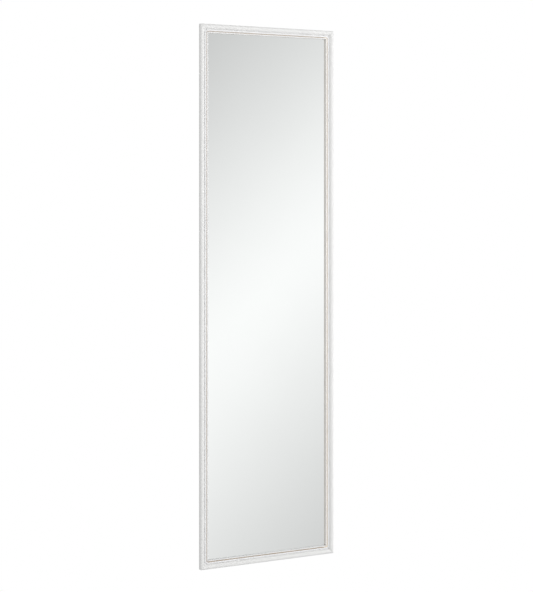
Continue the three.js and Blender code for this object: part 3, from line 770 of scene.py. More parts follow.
def slip_section():
    """The ring's outline: how far in from the frame's edge, and how far up from its back."""
    bead_middle = (SLIP_OUTSIDE + BEAD_END) / 2
    bead_half = (BEAD_END - SLIP_OUTSIDE) / 2
    section = [(SLIP_OUTSIDE, SLIP_BEARING), (SLIP_SHOULDER, SLIP_BEARING)]
    section += [(SLIP_SHOULDER, SLIP_BACK), (SIGHT_INSET, SLIP_BACK)]
    sight, groove = (SIGHT_INSET, SIGHT_RISE), (GROOVE_END, BEAD_FOOT)
    section += eased_corner((SIGHT_INSET, SLIP_BACK), sight, LIP_CONTROL, SIGHT_EASE)
    lip = bezier(sight, *raised(sight, LIP_CONTROL, groove), groove, SLIP_CHORDS)
    section += [point for point in lip if SIGHT_INSET - point[0] > LIP_CLEAR]
    bead_foot = (BEAD_END, BEAD_FOOT)
    section += bezier(groove, *raised(groove, GROOVE_CONTROL, bead_foot), bead_foot, SLIP_CHORDS)
    for i in range(1, 2 * SLIP_CHORDS + 1):
        angle = math.pi * i / (2 * SLIP_CHORDS)
        inset = bead_middle + bead_half * math.cos(angle)
        section.append((inset, BEAD_FOOT + BEAD_RISE * math.sin(angle)))
    section += [(SLIP_OUTSIDE, SLIP_BASE + BASE_STEP), (SLIP_OUTSIDE, SLIP_BASE)]
    return section


def raised(start, control, end):
    """The two middle points of the cubic curve that a curve with one control point equals."""
    first = tuple(s + (c - s) * 2 / 3 for s, c in zip(start, control))
    second = tuple(e + (c - e) * 2 / 3 for e, c in zip(end, control))
    return first, second


def slip_stations():
    """Round the ring: the corner's signs, heading, run from it, the side's length, and nearness to a
    corner, for the glaze's pools and the painted corner shade.
    """
    stations = []
    quarter = math.pi / 2
    for quadrant, (sign_x, sign_z) in enumerate(((1, 1), (-1, 1), (-1, -1), (1, -1))):
        side = half_width if quadrant in (0, 2) else half_height
        length = 2 * (side - SLIP_CORNER_INSET)
        for k in range(SLIP_CORNER_CHORDS + 1):
            angle = (quadrant + k / SLIP_CORNER_CHORDS) * quarter
            stations.append((sign_x, sign_z, angle, 0.0, length, 1.0))
        plain = length - 2 * CORNER_REACH
        count = round(plain / SLIP_PITCH)
        heading = (quadrant + 1) * quarter
        for run in [CORNER_REACH / 2] + [CORNER_REACH + plain * i / count for i in range(count + 1)]:
            pool = max(0.0, 1 - min(run, length - run) / CORNER_REACH)
            stations.append((sign_x, sign_z, heading, run, length, pool))
        stations.append((sign_x, sign_z, heading, length - CORNER_REACH / 2, length, 0.5))
    return stations


def mould_slip():
    """The ring. Its corners are round, but square where its base stands in the rails' corners."""
    section = slip_section()
    rings, insets, near_corners = [], [], []
    for sign_x, sign_z, angle, run, length, pool in slip_stations():
        ring = []
        for inset, rise in section:
            squared = inset == SLIP_OUTSIDE and rise <= SLIP_BASE
            radius = SIGHT_RADIUS if squared else max(SLIP_CORNER_INSET - inset, SIGHT_RADIUS)
            slack = inset + radius - SLIP_CORNER_INSET
            along = run * (length - 2 * slack) / length
            cos, sin = math.cos(angle), math.sin(angle)
            x = sign_x * (half_width - inset - radius) + radius * cos - sin * along
            z = sign_z * (half_height - inset - radius) + radius * sin + cos * along
            ring.append((frame_middle.x + x, rail_back - rise, frame_middle.z + z))
            insets.append(inset)
            near_corners.append(pool)
        rings.append(ring)
    slip = loft("antiqued_slip", rings, looped=True)
    for name, values in (("inset", insets), ("pool", near_corners)):
        slip.data.attributes.new(name, "FLOAT", "POINT").data.foreach_set("value", values)
    return slip


def antiqued_lacquer():
    material, tree, surface = start_material("antiqued_lacquer")
    place = own_place(tree)
    inset = put(tree, "Attribute", attribute_name="inset").outputs["Fac"]
    pool = put(tree, "Attribute", attribute_name="pool").outputs["Fac"]
    white = colour(*SLIP_WHITE)
    film = place_group(tree, sprayed_film, colour=white, drift=0.008, sheen=0.38, grain=900.0)
    patchy = cloud(tree, place, 120.0, 5.0, 0.68)
    slow = cloud(tree, place, 14.0, 3.0, 0.5)
    wander = maths(tree, "MULTIPLY_ADD", maths(tree, "SUBTRACT", patchy, 0.5), 0.5, inset)
    outer = fade(tree, wander, BEAD_END - 0.4, BEAD_END + 0.1)
    inner = fade(tree, wander, GROOVE_END - 0.6, GROOVE_END - 0.1, 1.0, 0.0)
    wiped = maths(tree, "MULTIPLY_ADD", patchy, 0.55, times(tree, slow, 0.9))
    film_left = fade(tree, wiped, 0.25, 0.95, 0.75, 1.0)
    across, _, level = put(tree, "SeparateXYZ", {0: place}).outputs
    heavy = fade(tree, level, GLAZE_THINS * MM, GLAZE_THIN * MM, GLAZE_MOST, GLAZE_LEAST)
    wetted = times(tree, times(tree, outer, inner), heavy)
    glaze = times(tree, wetted, film_left)
    rub = place_group(tree, rubbed_edge, start=0.55, full=0.64, amount=0.15)["Mask"]
    stained = blend_colours(tree, fade(tree, patchy, 0.35, 0.7), colour(*GLAZE), colour(*GLAZE_LIGHTER))
    deep = times(tree, fade(tree, pool, 0.70, 0.95), fade(tree, patchy, 0.28, 0.46))
    stained = blend_colours(tree, times(tree, deep, 0.85), stained, colour(*GLAZE_POOL_AND_SHADE))
    # Painted light: the glaze on the right stile is painted pale, for the light that falls on it from
    # the right.
    painted_light_side = fade(tree, across, PAINTED_LIGHT_SPAN[0] * MM, PAINTED_LIGHT_SPAN[1] * MM)
    stained = blend_colours(tree, painted_light_side, stained, colour(*GLAZE_WITH_PAINTED_LIGHT))
    tint = blend_colours(tree, rub, film["Colour"], colour(*RUBBED_SLIP))
    tint = blend_colours(tree, glaze, tint, stained)
    near_glass = fade(tree, inset, SIGHT_INSET - 0.5, SIGHT_INSET - 0.1)
    # Painted shade with some grime: the corners of the lip's wall by the glass are darkened with the
    # glaze's brown.
    corner_shade_and_grime = times(tree, fade(tree, pool, 0.75, 1.0), near_glass)
    # Painted shade: the lip's wall over the glass is darkened where it faces down or sideways and left
    # clean where it faces up, as shade falls there.
    shade_unless_upward = fade(tree, facing(tree, 2), 0.1, 0.7, 0.3, 0.0)
    sight_wall_shade = times(tree, fade(tree, inset, SIGHT_INSET - 0.1, SIGHT_INSET), shade_unless_upward)
    tint = blend_colours(tree, sight_wall_shade, tint, colour(*SIGHT_WALL_SHADE))
    tint = blend_colours(tree, times(tree, corner_shade_and_grime, 0.55), tint, colour(*GLAZE_POOL_AND_SHADE))
    tint, _ = dusted(tree, tint, 0.05)
    rough = maths(tree, "MULTIPLY_ADD", glaze, 0.14, film["Roughness"])
    connect(tree, surface, base_color=tint, roughness=rough)
    height = maths(tree, "MULTIPLY_ADD", glaze, -0.8, film["Height"])
    raise_bump(tree, surface, height, 0.006)
    return material


slip = mould_slip()
coat(slip, antiqued_lacquer())
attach(slip, "frame")
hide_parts("inner_bead")


# Mirror: a plate of three-millimetre float glass with ground edges, silvered behind. The pane has the
# glass's faint green in its reflection, a trace of wiping, and no wave that the eye can follow.
GLASS_ARRIS = 0.4
SILVER = (249, 251, 250)


def inset_outline(outline, by):
    """A closed outline in X and Z, moved inwards."""
    normals = inward_normals(outline)
    moved = []
    for i, ((x, z), normal) in enumerate(zip(outline, normals)):
        before, after = outline[i - 1], outline[(i + 1) % len(outline)]
        edge = Vector((x - before[0], z - before[1])).normalized()
        onward = Vector((after[0] - x, after[1] - z)).normalized()
        half_turn = math.sqrt(max(0.05, (1 + edge.dot(onward)) / 2))
        moved.append((x + normal.x * by / half_turn, z + normal.y * by / half_turn))
    return moved


def eased_plate(name, outline, front, back, ease):
    """A flat plate between two levels of Y, with eased edges, from its outline in X and Z."""
    near = inset_outline(outline, ease)
    rings = []
    for y, shape in ((front, near), (front + ease, outline), (back - ease, outline), (back, near)):
        rings.append([(x, y, z) for x, z in shape])
    return loft(name, rings)


def pane(name, node, ease):
    """A rectangular plate that fills a CAD node's box."""
    low, high = box_of(node)
    outline = [(low.x, low.z), (high.x, low.z), (high.x, high.z), (low.x, high.z)]
    return eased_plate(name, outline, low.y, high.y, ease)


def silvered_glass():
    material, tree, surface = start_material("silvered_glass")
    place = own_place(tree)
    film = cloud(tree, place, 5.0, 4.0, 0.55)
    wiped = cloud(tree, place, 1.0, 3.0, 0.55, stretch=(16.0, 16.0, 5.0))
    tone = fade(tree, film, 0.3, 0.7, 0.992, 1.0)
    smear = fade(tree, wiped, 0.52, 0.72, 0.012, 0.035)
    connect(tree, surface, base_color=shaded(tree, colour(*SILVER), tone), roughness=smear)
    surface.inputs["Metallic"].default_value = 1.0
    return material


glass = pane("mirror_plate", "mirror_glass", GLASS_ARRIS)
coat(glass, silvered_glass())
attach(glass, "frame")
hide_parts("mirror_glass")


# Back coat: the grey paint over the silvering, rolled on in one thin coat with a faint stipple.
BACK_PAINT = (112, 117, 121)


def rolled_paint():
    material, tree, surface = start_material("rolled_back_paint")
    grey = colour(*BACK_PAINT)
    film = place_group(tree, sprayed_film, colour=grey, drift=0.12, sheen=0.62, grain=1400.0)
    connect(tree, surface, base_color=film["Colour"], roughness=film["Roughness"])
    raise_bump(tree, surface, film["Height"], 0.03)
    return material


back_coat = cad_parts["mirror_back_coat"]
coat(back_coat, rolled_paint())


# Backing board: hardboard pressed from wood fibre against a wire screen, whose mesh stays on its back.
# Its edges are sawn and it lies loose in the rebate, under the retaining points.
BOARD_BROWN = (132, 98, 66)
SCREEN_PITCH = 1.6
BOARD_EASE = 0.15


def screen_backed_hardboard():
    material, tree, surface = start_material("screen_backed_hardboard")
    place = own_place(tree)
    board = place_group(tree, pressed_fibre, colour=colour(*BOARD_BROWN), contrast=0.9)
    axes = put(tree, "SeparateXYZ", {0: place}).outputs
    ridges = []
    for axis in (0, 2):
        phase = times(tree, axes[axis], 2 * math.pi / (SCREEN_PITCH * MM))
        ridges.append(maths(tree, "MULTIPLY_ADD", maths(tree, "SINE", phase), 0.5, 0.5))
    screen = times(tree, *ridges)
    stain = fade(tree, cloud(tree, place, 7.0, 6.0, 0.6), 0.35, 0.7, 0.86, 1.05)
    hollow = maths(tree, "MULTIPLY_ADD", screen, 0.16, 0.90)
    tint = shaded(tree, board["Colour"], times(tree, stain, hollow))
    tint, _ = dusted(tree, tint, 0.5)
    connect(tree, surface, base_color=tint)
    surface.inputs["Roughness"].default_value = 0.86
    height = maths(tree, "MULTIPLY_ADD", board["Height"], 0.5, screen)
    raise_bump(tree, surface, height, 0.14)
    return material


board = pane("hardboard_panel", "backing_board", BOARD_EASE)
coat(board, screen_backed_hardboard())
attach(board, "frame")
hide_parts("backing_board")


# Retaining points: flat steel tabs, stamped out and driven sideways into the rebate's wall, which press
# the board and the glass against the slip. Each has a pointed root and a rounded tab.
POINT_EASE = 0.12
TAB_CHORDS = 6
TAB_REACH = 4.0
TAB_STEP = 0.05


def point_outline(low, high, out):
    """The tab's outline in X and Z; out is the way to the rail that it is driven into."""
    across = Vector((-out.z, 0, out.x))
    middle = (low + high) / 2
    reach = abs(out.x * (high.x - low.x) + out.z * (high.z - low.z)) / 2
    half = abs(across.x * (high.x - low.x) + across.z * (high.z - low.z)) / 2
    wall = reach - TAB_REACH - TAB_STEP
    shape = [(0.0, reach), (-half, wall)]
    for side in (-1, 1):
        for i in range(TAB_CHORDS + 1):
            t = i / TAB_CHORDS if side < 0 else 1 - i / TAB_CHORDS
            shape.append((side * (half - half / 2 * t * t), half / 2 * (1 - t) ** 2 - reach))
    shape.append((half, wall))
    spots = [middle + across * a + out * b for a, b in shape]
    return [(spot.x, spot.z) for spot in spots]


OUTWARD = {"top": up, "bottom": -up, "left": -right, "right": right}
spring_steel = metal("spring_steel", STEEL, 0.30, 1.0, 0.008)
for name in sorted(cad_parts):
    if name.startswith("retaining_point"):
        low, high = box_of(name)
        outline = point_outline(low, high, OUTWARD[name.split("_")[2]])
        piece_name = name.replace("retaining_point", "driven_point")
        tab = eased_plate(piece_name, outline, low.y, high.y, POINT_EASE)
        coat(tab, spring_steel)
        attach(tab, "frame")
        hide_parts(name)


# Bumpers: dark rubber buttons, moulded with a slight waist and a rounded nose, pressed on to the back
# of the top and bottom rails near their ends. They keep the frame off the door.
BUMPER_NOSE = 0.8
BUMPER_EDGE = 0.3
BUMPER_BAND = 1.6
BUMPER_WAIST = 0.35
BUMPER_WAIST_REACH = 1.2
BUMPER_DIMPLE = (1.5, 0.6)
DIMPLE_EDGE = 0.15
DIMPLE_FLOOR = 0.7
RUBBER = (52, 53, 54)
ROUND_STEPS = 48


def turned(name, profile, centre, steps=ROUND_STEPS, sharp=33.0):
    """A round piece about an axis along Y, from points of radius and Y that run front to back."""
    rings = []
    for radius, y in profile:
        if radius == 0:
            rings.append([(centre.x, y, centre.z)])
            continue
        ring = []
        for i in range(steps):
            angle = 2 * math.pi * i / steps
            ring.append((centre.x + radius * math.cos(angle), y, centre.z + radius * math.sin(angle)))
        rings.append(ring)
    return loft(name, rings, sharp=sharp)


def quarter_round(radius, face, ease, chords=6):
    """A rounded edge of that size, from the side at that radius to a face at that level."""
    points = []
    for i in range(chords + 1):
        angle = math.pi / 2 * i / chords
        points.append((radius - ease * (1 - math.cos(angle)), face - ease + ease * math.sin(angle)))
    return points


def moulded_skin_group():
    """Moulded rubber or foam: fine pores, a slow change of tone and pale chalky patches."""
    inputs = {"Colour": (0.1, 0.1, 0.1, 1.0), "Pores": 1500.0, "Bloom": 0.2}
    outputs = {"Colour": (0.1, 0.1, 0.1, 1.0), "Roughness": 0.8, "Height": 0.5}
    tree, given, result = start_group("moulded_skin", inputs, outputs)
    place = own_place(tree)
    pores = put(tree, "TexVoronoi", {"Vector": place, "Scale": given["Pores"]}).outputs["Distance"]
    bloom = times(tree, fade(tree, cloud(tree, place, 180.0, 5.0, 0.6), 0.42, 0.7), given["Bloom"])
    tone = fade(tree, pores, 0.0, 0.6, 0.80, 1.08)
    pale = blend_colours(tree, bloom, shaded(tree, given["Colour"], tone), DUST)
    rough = maths(tree, "MULTIPLY_ADD", bloom, 0.2, 0.74)
    connect(tree, result, colour=pale, roughness=rough, height=pores)
    return tree


moulded_skin = moulded_skin_group()


def moulded(name, tint, pores, bloom, depth):
    material, tree, surface = start_material(name)
    skin = place_group(tree, moulded_skin, colour=colour(*tint), pores=pores, bloom=bloom)
    connect(tree, surface, base_color=skin["Colour"], roughness=skin["Roughness"])
    raise_bump(tree, surface, skin["Height"], depth)
    return material


rubber = moulded("bumper_rubber", RUBBER, 1700.0, 0.22, 0.05)
for name in sorted(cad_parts):
    if name.startswith("door_bumper"):
        low, high = box_of(name)
        centre, radius = (low + high) / 2, (high.x - low.x) / 2
        waist, waist_radius = (low.y + high.y) / 2, radius - BUMPER_WAIST
        dimple_radius, dimple_depth = BUMPER_DIMPLE
        profile = [(0, low.y), (radius - BUMPER_EDGE, low.y), (radius, low.y + BUMPER_EDGE)]
        profile += [(radius, low.y + BUMPER_BAND)]
        profile += [(waist_radius, waist + way * BUMPER_WAIST_REACH) for way in (-1, 1)]
        profile += [(radius, high.y - BUMPER_BAND)]
        profile += quarter_round(radius, high.y, BUMPER_NOSE)
        profile += [(dimple_radius + BUMPER_EDGE, high.y), (dimple_radius, high.y - DIMPLE_EDGE)]
        dimple_floor = high.y - dimple_depth
        profile += [(dimple_radius * DIMPLE_FLOOR, dimple_floor), (0, dimple_floor)]
        bumper = turned(name.replace("door_bumper", "rubber_button"), profile, centre)
        coat(bumper, rubber)
        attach(bumper, "frame")
        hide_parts(name)


# Straps: flat steel, 22 by 2 millimetres, bent over the top of the door and powder coated white. The
# leg slides behind the frame, where the keeper has rubbed it; the tip behind the door is rounded.
STRAP_WIDTH = 22.0
STRAP_THICKNESS = 2.0
STRAP_BEND = 3.0
STRAP_END_ROUND = 4.0
STRAP_EASE = 0.35
BEND_CHORDS = 14
EDGE_CHORDS = 4
END_CHORDS = 8
STRIP_PITCH = 12.0
NEAREST_CUTS = 0.02
RIVET_HOLE = 1.65
STRAP_PAST_PAD = 3.0
POWDER_WHITE = (232, 232, 230)
SCUFFED = (176, 175, 172)
BARE_STEEL = (150, 150, 150)


def bent_line(corners, radius):
    """Pieces of a line with rounded corners: each gives a place and a heading along it."""
    points = [Vector(corner) for corner in corners]
    pieces, start = [], points[0]
    for before, corner, after in zip(points, points[1:], points[2:]):
        entering, leaving = (corner - before).normalized(), (after - corner).normalized()
        turn = math.atan2(entering.x * leaving.y - entering.y * leaving.x, entering.dot(leaving))
        tangent = radius * math.tan(abs(turn) / 2)
        entry = corner - entering * tangent
        pieces.append((start, entering, 0.0, (entry - start).length))
        pieces.append((entry, entering, turn, abs(turn) * radius))
        start = corner + leaving * tangent
    heading = (points[-1] - start).normalized()
    pieces.append((start, heading, 0.0, (points[-1] - start).length))
    return pieces


def strip_runs(pieces, end_round, ease):
    """Distances along the line at which a strip has a cut, close together at bends and ends."""
    runs, total = [], 0.0
    for *_, turn, length in pieces:
        count = BEND_CHORDS if turn else max(1, round(length / STRIP_PITCH))
        runs += [total + length * i / count for i in range(count)]
        total += length
    runs.append(total)
    ends = []
    for size in (ease, end_round):
        for i in range(END_CHORDS + 1):
            reach = size * (1 - math.cos(math.pi / 2 * i / END_CHORDS))
            ends += [reach, total - reach]
    kept = sorted(set(round(run, 4) for run in runs + ends if 0 <= run <= total))
    spaced = [kept[0]]
    for run in kept[1:-1]:
        if run - spaced[-1] > NEAREST_CUTS and total - run > NEAREST_CUTS:
            spaced.append(run)
    return spaced + [total], total


def along_line(pieces, radius, run):
    """Place and heading at a distance along the line."""
    for start, heading, turn, length in pieces:
        if run <= length + 1e-6 or (start, heading, turn, length) == pieces[-1]:
            break
        run -= length
    if not turn:
        return start + heading * run, heading
    side = Vector((-heading.y, heading.x)) * math.copysign(1, turn)
    angle = math.copysign(run / radius, turn)
    cos, sin = math.cos(angle), math.sin(angle)
    now = Vector((heading.x * cos - heading.y * sin, heading.x * sin + heading.y * cos))
    side_now = Vector((-now.y, now.x)) * math.copysign(1, turn)
    return start + side * radius - side_now * radius, now


def eased_section(half_width, half_thickness, ease):
    """A rectangle with rounded corners, as offsets across the strip and through it."""
    ring = []
    for sign_a, sign_b, first in ((1, 1, 0), (-1, 1, 90), (-1, -1, 180), (1, -1, 270)):
        for k in range(EDGE_CHORDS + 1):
            angle = math.radians(first + 90 * k / EDGE_CHORDS)
            across = sign_a * (half_width - ease) + ease * math.cos(angle)
            through = sign_b * (half_thickness - ease) + ease * math.sin(angle)
            ring.append((across, through))
    return ring


def bent_strip(name, corners, radius, width, thickness, end_round, ease, place):
    """A strip bent along a line, with eased edges and rounded ends. place(a, b, across) is a point."""
    pieces = bent_line(corners, radius)
    runs, total = strip_runs(pieces, end_round, ease)
    rings = []
    for run in runs:
        end = min(run, total - run)
        short = max(0.0, end_round - end)
        flat = max(0.0, ease - end)
        half_across = width / 2 - end_round + math.sqrt(max(0.0, end_round ** 2 - short ** 2))
        half_through = thickness / 2 - ease + math.sqrt(max(0.0, ease ** 2 - flat ** 2))
        point, heading = along_line(pieces, radius, run)
        side = Vector((-heading.y, heading.x))
        ring = []
        edge = min(ease, half_through) * 0.999
        for across, through in eased_section(half_across, half_through, edge):
            spot = point + side * through
            ring.append(place(spot.x, spot.y, across))
        rings.append(ring)
    return loft(name, rings)


def rod(name, radius, centre, front, back):
    """A plain round cutter along Y."""
    return turned(name, [(0, front), (radius, front), (radius, back), (0, back)], centre)


def powder_coat():
    material, tree, surface = start_material("powder_coated_steel")
    place = own_place(tree)
    white = colour(*POWDER_WHITE)
    film = place_group(tree, sprayed_film, colour=white, drift=0.04, sheen=0.34, grain=1300.0)
    plate = place_group(tree, plated_metal, colour=colour(*BARE_STEEL), sheen=0.4, wear=1.0)
    chip = place_group(tree, rubbed_edge, start=0.56, full=0.66, amount=0.9)["Mask"]
    broken = fade(tree, cloud(tree, place, 90.0, 6.0, 0.7), 0.52, 0.60)
    chipped = times(tree, chip, broken)
    streak = cloud(tree, place, 1.0, 4.0, 0.6, stretch=(900.0, 60.0, 26.0))
    scuff = fade(tree, streak, 0.56, 0.74, 0.0, 0.30)
    tint = blend_colours(tree, scuff, film["Colour"], colour(*SCUFFED))
    tint, dust = dusted(tree, blend_colours(tree, chipped, tint, plate["Colour"]), 0.35)
    rough = maths(tree, "MULTIPLY_ADD", maths(tree, "ADD", dust, scuff), 0.3, film["Roughness"])
    connect(tree, surface, base_color=tint, roughness=rough, metallic=chipped)
    raise_bump(tree, surface, maths(tree, "MULTIPLY_ADD", chipped, -1.5, film["Height"]), 0.03)
    return material


powder_coated = powder_coat()
hands = ("left", "right")
for hand in hands:
    low, high = box_of(hand + "_hook_strap")
    middle_x, half = (low.x + high.x) / 2, STRAP_THICKNESS / 2
    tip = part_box(hand + "_hook_pad")[0].z / MM - STRAP_PAST_PAD
    bends = [(low.y + half, low.z), (low.y + half, high.z - half), (high.y - half, high.z - half)]
    bends.append((high.y - half, tip))
    strap = bent_strip(
        hand + "_bent_strap", bends, STRAP_BEND, STRAP_WIDTH, STRAP_THICKNESS,
        STRAP_END_ROUND, STRAP_EASE, lambda a, b, across: (middle_x + across, a, b),
    )
    rivet_middle = sum(box_of(hand + "_stop_rivet"), Vector()) / 2
    carve(strap, [rod("hole", RIVET_HOLE, rivet_middle, low.y - 1, low.y + 2 * STRAP_THICKNESS)])
    coat(strap, powder_coated)
    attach(strap, hand + "_hook")
    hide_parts(hand + "_hook_strap")


# Pads: strips of grey closed-cell foam, glued under the strap's bridge and inside its drop, so that
# the steel does not mark the door. Their ends and edges are cut with a slight round.
PAD_THICKNESS = 1.5
PAD_WIDTH = 20.0
PAD_BEND = 1.2
PAD_EASE = 0.4
PAD_END_ROUND = 1.0
FOAM = (139, 141, 142)

foam = moulded("closed_cell_foam", FOAM, 1150.0, 0.12, 0.16)
for hand in hands:
    low, high = box_of(hand + "_hook_pad")
    middle_x, half = (low.x + high.x) / 2, PAD_THICKNESS / 2
    bends = [(low.y, high.z - half), (high.y - half, high.z - half), (high.y - half, low.z)]
    pad = bent_strip(
        hand + "_foam_strip", bends, PAD_BEND, PAD_WIDTH, PAD_THICKNESS,
        PAD_END_ROUND, PAD_EASE, lambda a, b, across: (middle_x + across, a, b),
    )
    coat(pad, foam)
    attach(pad, hand + "_hook")
    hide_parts(hand + "_hook_pad")


# Stop rivets: zinc-plated steel, set through the strap's lower end with a low domed head behind, which
# meets the keeper when the strap is right up and stops it from leaving.
RIVET_SHANK = 1.5
RIVET_DOME = 1.4
RIVET_EDGE = 0.15
RIVET_RIM = 0.12
RIVET_CHORDS = 12
ZINC = (186, 189, 190)


def dome(radius, foot, crown, chords, fullness=1.0):
    """A domed head's profile above its rim, between two levels; a fullness under 1 fills it out."""
    points = []
    for i in range(1, chords):
        angle = math.pi / 2 * i / chords
        points.append((radius * math.cos(angle) ** fullness, foot + (crown - foot) * math.sin(angle)))
    return points + [(0, crown)]


zinc_plate = metal("zinc_plate", ZINC, 0.33, 0.9, 0.012)
for hand in hands:
    low, high = box_of(hand + "_stop_rivet")
    head, seat = (high.x - low.x) / 2, high.y - RIVET_DOME
    profile = [(0, low.y), (RIVET_SHANK - RIVET_EDGE, low.y), (RIVET_SHANK, low.y + RIVET_EDGE)]
    profile += [(RIVET_SHANK, seat), (head - RIVET_EDGE, seat), (head, seat + RIVET_RIM)]
    profile += dome(head, seat + RIVET_RIM, high.y, RIVET_CHORDS)
    rivet = turned(hand + "_domed_rivet", profile, (low + high) / 2)
    coat(rivet, zinc_plate)
    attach(rivet, hand + "_hook")
    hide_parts(hand + "_stop_rivet")


# Keepers: hat-shaped guides bent from steel sheet, powder coated like the straps, through which each
# strap slides. Two screws hold the ears to the top rail; the clamp screw's thread is in the hat.
KEEPER_THICKNESS = 1.5
KEEPER_BEND = 1.25
KEEPER_EASE = 0.28
KEEPER_END_ROUND = 0.9
EAR_LENGTH = 12.0
SCREW_HOLE = 1.55
CLAMP_HOLE = 2.15

for hand in hands:
    low, high = box_of(hand + "_hook_keeper")
    middle_x, half = (low.x + high.x) / 2, KEEPER_THICKNESS / 2
    wall = EAR_LENGTH + half
    ear, crown = low.y + half, high.y - half
    bends = [(low.x, ear), (low.x + wall, ear), (low.x + wall, crown)]
    bends += [(high.x - wall, crown), (high.x - wall, ear), (high.x, ear)]
    middle_z = (low.z + high.z) / 2
    keeper = bent_strip(
        hand + "_hat_keeper", bends, KEEPER_BEND, high.z - low.z, KEEPER_THICKNESS,
        KEEPER_END_ROUND, KEEPER_EASE, lambda a, b, across: (a, b, middle_z + across),
    )
    holes = [rod("hole", CLAMP_HOLE, Vector((middle_x, 0, middle_z)), crown - 1, crown + 1)]
    for end in ("a", "b"):
        screw_middle = sum(box_of(f"{hand}_keeper_screw_{end}"), Vector()) / 2
        holes.append(rod("hole", SCREW_HOLE, screw_middle, ear - 1, ear + 1))
    carve(keeper, holes)
    coat(keeper, powder_coated)
    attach(keeper, "frame")
    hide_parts(hand + "_hook_keeper")


# Keeper screws: zinc-plated pan-head wood screws with a cross recess, about twelve millimetres
# long over all, driven through the keepers' ears into the back of the top rail.
SCREW_RADIUS = 1.4
SCREW_TIP = 3.0
SCREW_HEAD_HEIGHT = 1.8
SCREW_RIM = 0.5
SCREW_HEAD_EDGE = (0.1, 0.15)
SCREW_DOME_CHORDS = 10
SCREW_DOME_FULLNESS = 0.8
SCREW_NECK = 0.6
THREAD_PITCH = 1.1
THREAD_DEPTH = 0.22
THREAD_LEAST = 0.12
RECESS_SPAN = 1.5
RECESS_HALF_WIDTH = 0.42
RECESS_DEPTH = 1.05
RECESS_CLEAR = 0.3


def cross_recess(name, centre, top):
    """A tapering cross that cuts the driver's recess into a head."""
    rings = []
    middle, floor = top - RECESS_DEPTH * 0.55, top - RECESS_DEPTH
    for y, scale in ((top + RECESS_CLEAR, 1.1), (middle, 0.86), (floor, 0.45)):
        span, half = RECESS_SPAN * scale, RECESS_HALF_WIDTH * scale
        outline = []
        for quarter in range(4):
            cos, sin = round(math.cos(quarter * math.pi / 2)), round(math.sin(quarter * math.pi / 2))
            for a, b in ((half, half), (span, half), (span, -half)):
                outline.append((centre.x + a * cos - b * sin, y, centre.z + a * sin + b * cos))
        rings.append(outline)
    return loft(name, rings)


for hand in hands:
    for end in ("a", "b"):
        node = f"{hand}_keeper_screw_{end}"
        low, high = box_of(node)
        centre, head = (low + high) / 2, (high.x - low.x) / 2
        seat = high.y - SCREW_HEAD_HEIGHT
        profile = [(0, low.y)]
        turns = round((seat - SCREW_NECK - low.y) / THREAD_PITCH)
        for i in range(turns):
            for share, cut in ((0.15, THREAD_DEPTH), (0.5, 0.0), (0.85, THREAD_DEPTH)):
                y = low.y + (i + share) * THREAD_PITCH
                full = SCREW_RADIUS * min(1.0, (y - low.y) / SCREW_TIP)
                profile.append((max(THREAD_LEAST, full - cut * full / SCREW_RADIUS), y))
        edge, edge_rise = SCREW_HEAD_EDGE
        profile += [(SCREW_RADIUS - THREAD_DEPTH, seat), (head - edge, seat), (head, seat + edge_rise)]
        profile += [(head, seat + SCREW_RIM)]
        profile += dome(head, seat + SCREW_RIM, high.y, SCREW_DOME_CHORDS, SCREW_DOME_FULLNESS)
        screw = turned(f"{hand}_pan_head_{end}", profile, centre)
        carve(screw, [cross_recess("recess", centre, high.y)], solver="MANIFOLD")
        coat(screw, zinc_plate)
        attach(screw, "frame")
        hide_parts(node)


# Clamp screws: turned brass thumb screws, straight knurled round the rim, dished on the face and
# nickel plated. Their tips press on the strap and lock it at the height that suits the door.
CLAMP_SHANK = 2.0
CLAMP_TIP_CHAMFER = 0.4
CLAMP_HEAD_HEIGHT = 3.5
KNURLS = 24
KNURL_DEPTH = 0.34
KNURL_POINTS = 6
KNURL_SHY = 0.12
KNURL_FADE = 0.36
KNURL_FULL = 0.65
KNURL_FADED = 0.7
RIM_CHAMFER = 0.45
FACE_EDGE = 0.15
FACE_DROP = 0.05
DISH_RADIUS = 3.2
DISH_DEPTH = 0.5
DISH_EDGE = (0.2, 0.1)
DISH_MIDDLE = (1.6, 0.5)
NICKEL = (200, 196, 186)


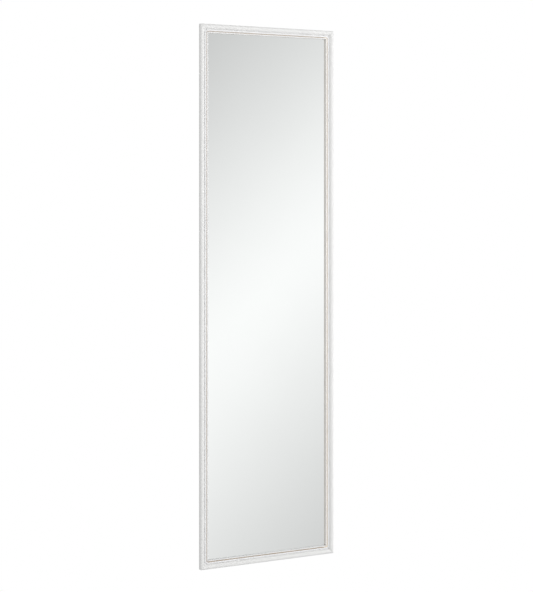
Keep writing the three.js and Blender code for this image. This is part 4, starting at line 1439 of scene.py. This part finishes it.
def knurled_ring(centre, radius, y, depth):
    """A ring round the head whose radius dips between the knurls."""
    ring = []
    steps = KNURLS * KNURL_POINTS
    for i in range(steps):
        angle = 2 * math.pi * i / steps
        dip = depth * (0.5 - 0.5 * math.cos(angle * KNURLS)) ** 0.7
        reach = radius - dip
        ring.append((centre.x + reach * math.cos(angle), y, centre.z + reach * math.sin(angle)))
    return ring


def thumb_screw(name, low, high):
    centre, rim = (low + high) / 2, (high.x - low.x) / 2
    seat, face, dish = high.y - CLAMP_HEAD_HEIGHT, high.y, high.y - DISH_DEPTH
    shallow, edge, edge_drop = KNURL_DEPTH * KNURL_FADED, *DISH_EDGE
    rows = [(CLAMP_SHANK - CLAMP_TIP_CHAMFER, low.y, 0), (CLAMP_SHANK, low.y + CLAMP_TIP_CHAMFER, 0)]
    rows += [(CLAMP_SHANK, seat, 0), (rim - RIM_CHAMFER, seat, 0)]
    rows += [(rim - KNURL_SHY, seat + KNURL_FADE, shallow), (rim, seat + KNURL_FULL, KNURL_DEPTH)]
    rows += [(rim, face - KNURL_FULL, KNURL_DEPTH), (rim - KNURL_SHY, face - KNURL_FADE, shallow)]
    rows += [(rim - RIM_CHAMFER, face - FACE_DROP, 0), (rim - RIM_CHAMFER - FACE_EDGE, face, 0)]
    rows += [(DISH_RADIUS + FACE_EDGE, face, 0), (DISH_RADIUS, face - edge_drop, 0)]
    rows += [(DISH_RADIUS - edge, dish, 0)] + [(radius, dish, 0) for radius in DISH_MIDDLE]
    rings = [knurled_ring(centre, radius, y, depth) for radius, y, depth in rows]
    rings.insert(0, [(centre.x, low.y, centre.z)])
    rings.append([(centre.x, dish, centre.z)])
    return loft(name, rings)


nickel_plate = metal("nickel_plated_brass", NICKEL, 0.24, 0.7, 0.008)
for hand in hands:
    low, high = box_of(hand + "_clamp_screw")
    clamp = thumb_screw(hand + "_thumb_screw", low, high)
    coat(clamp, nickel_plate)
    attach(clamp, hand + "_clamp")
    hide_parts(hand + "_clamp_screw")
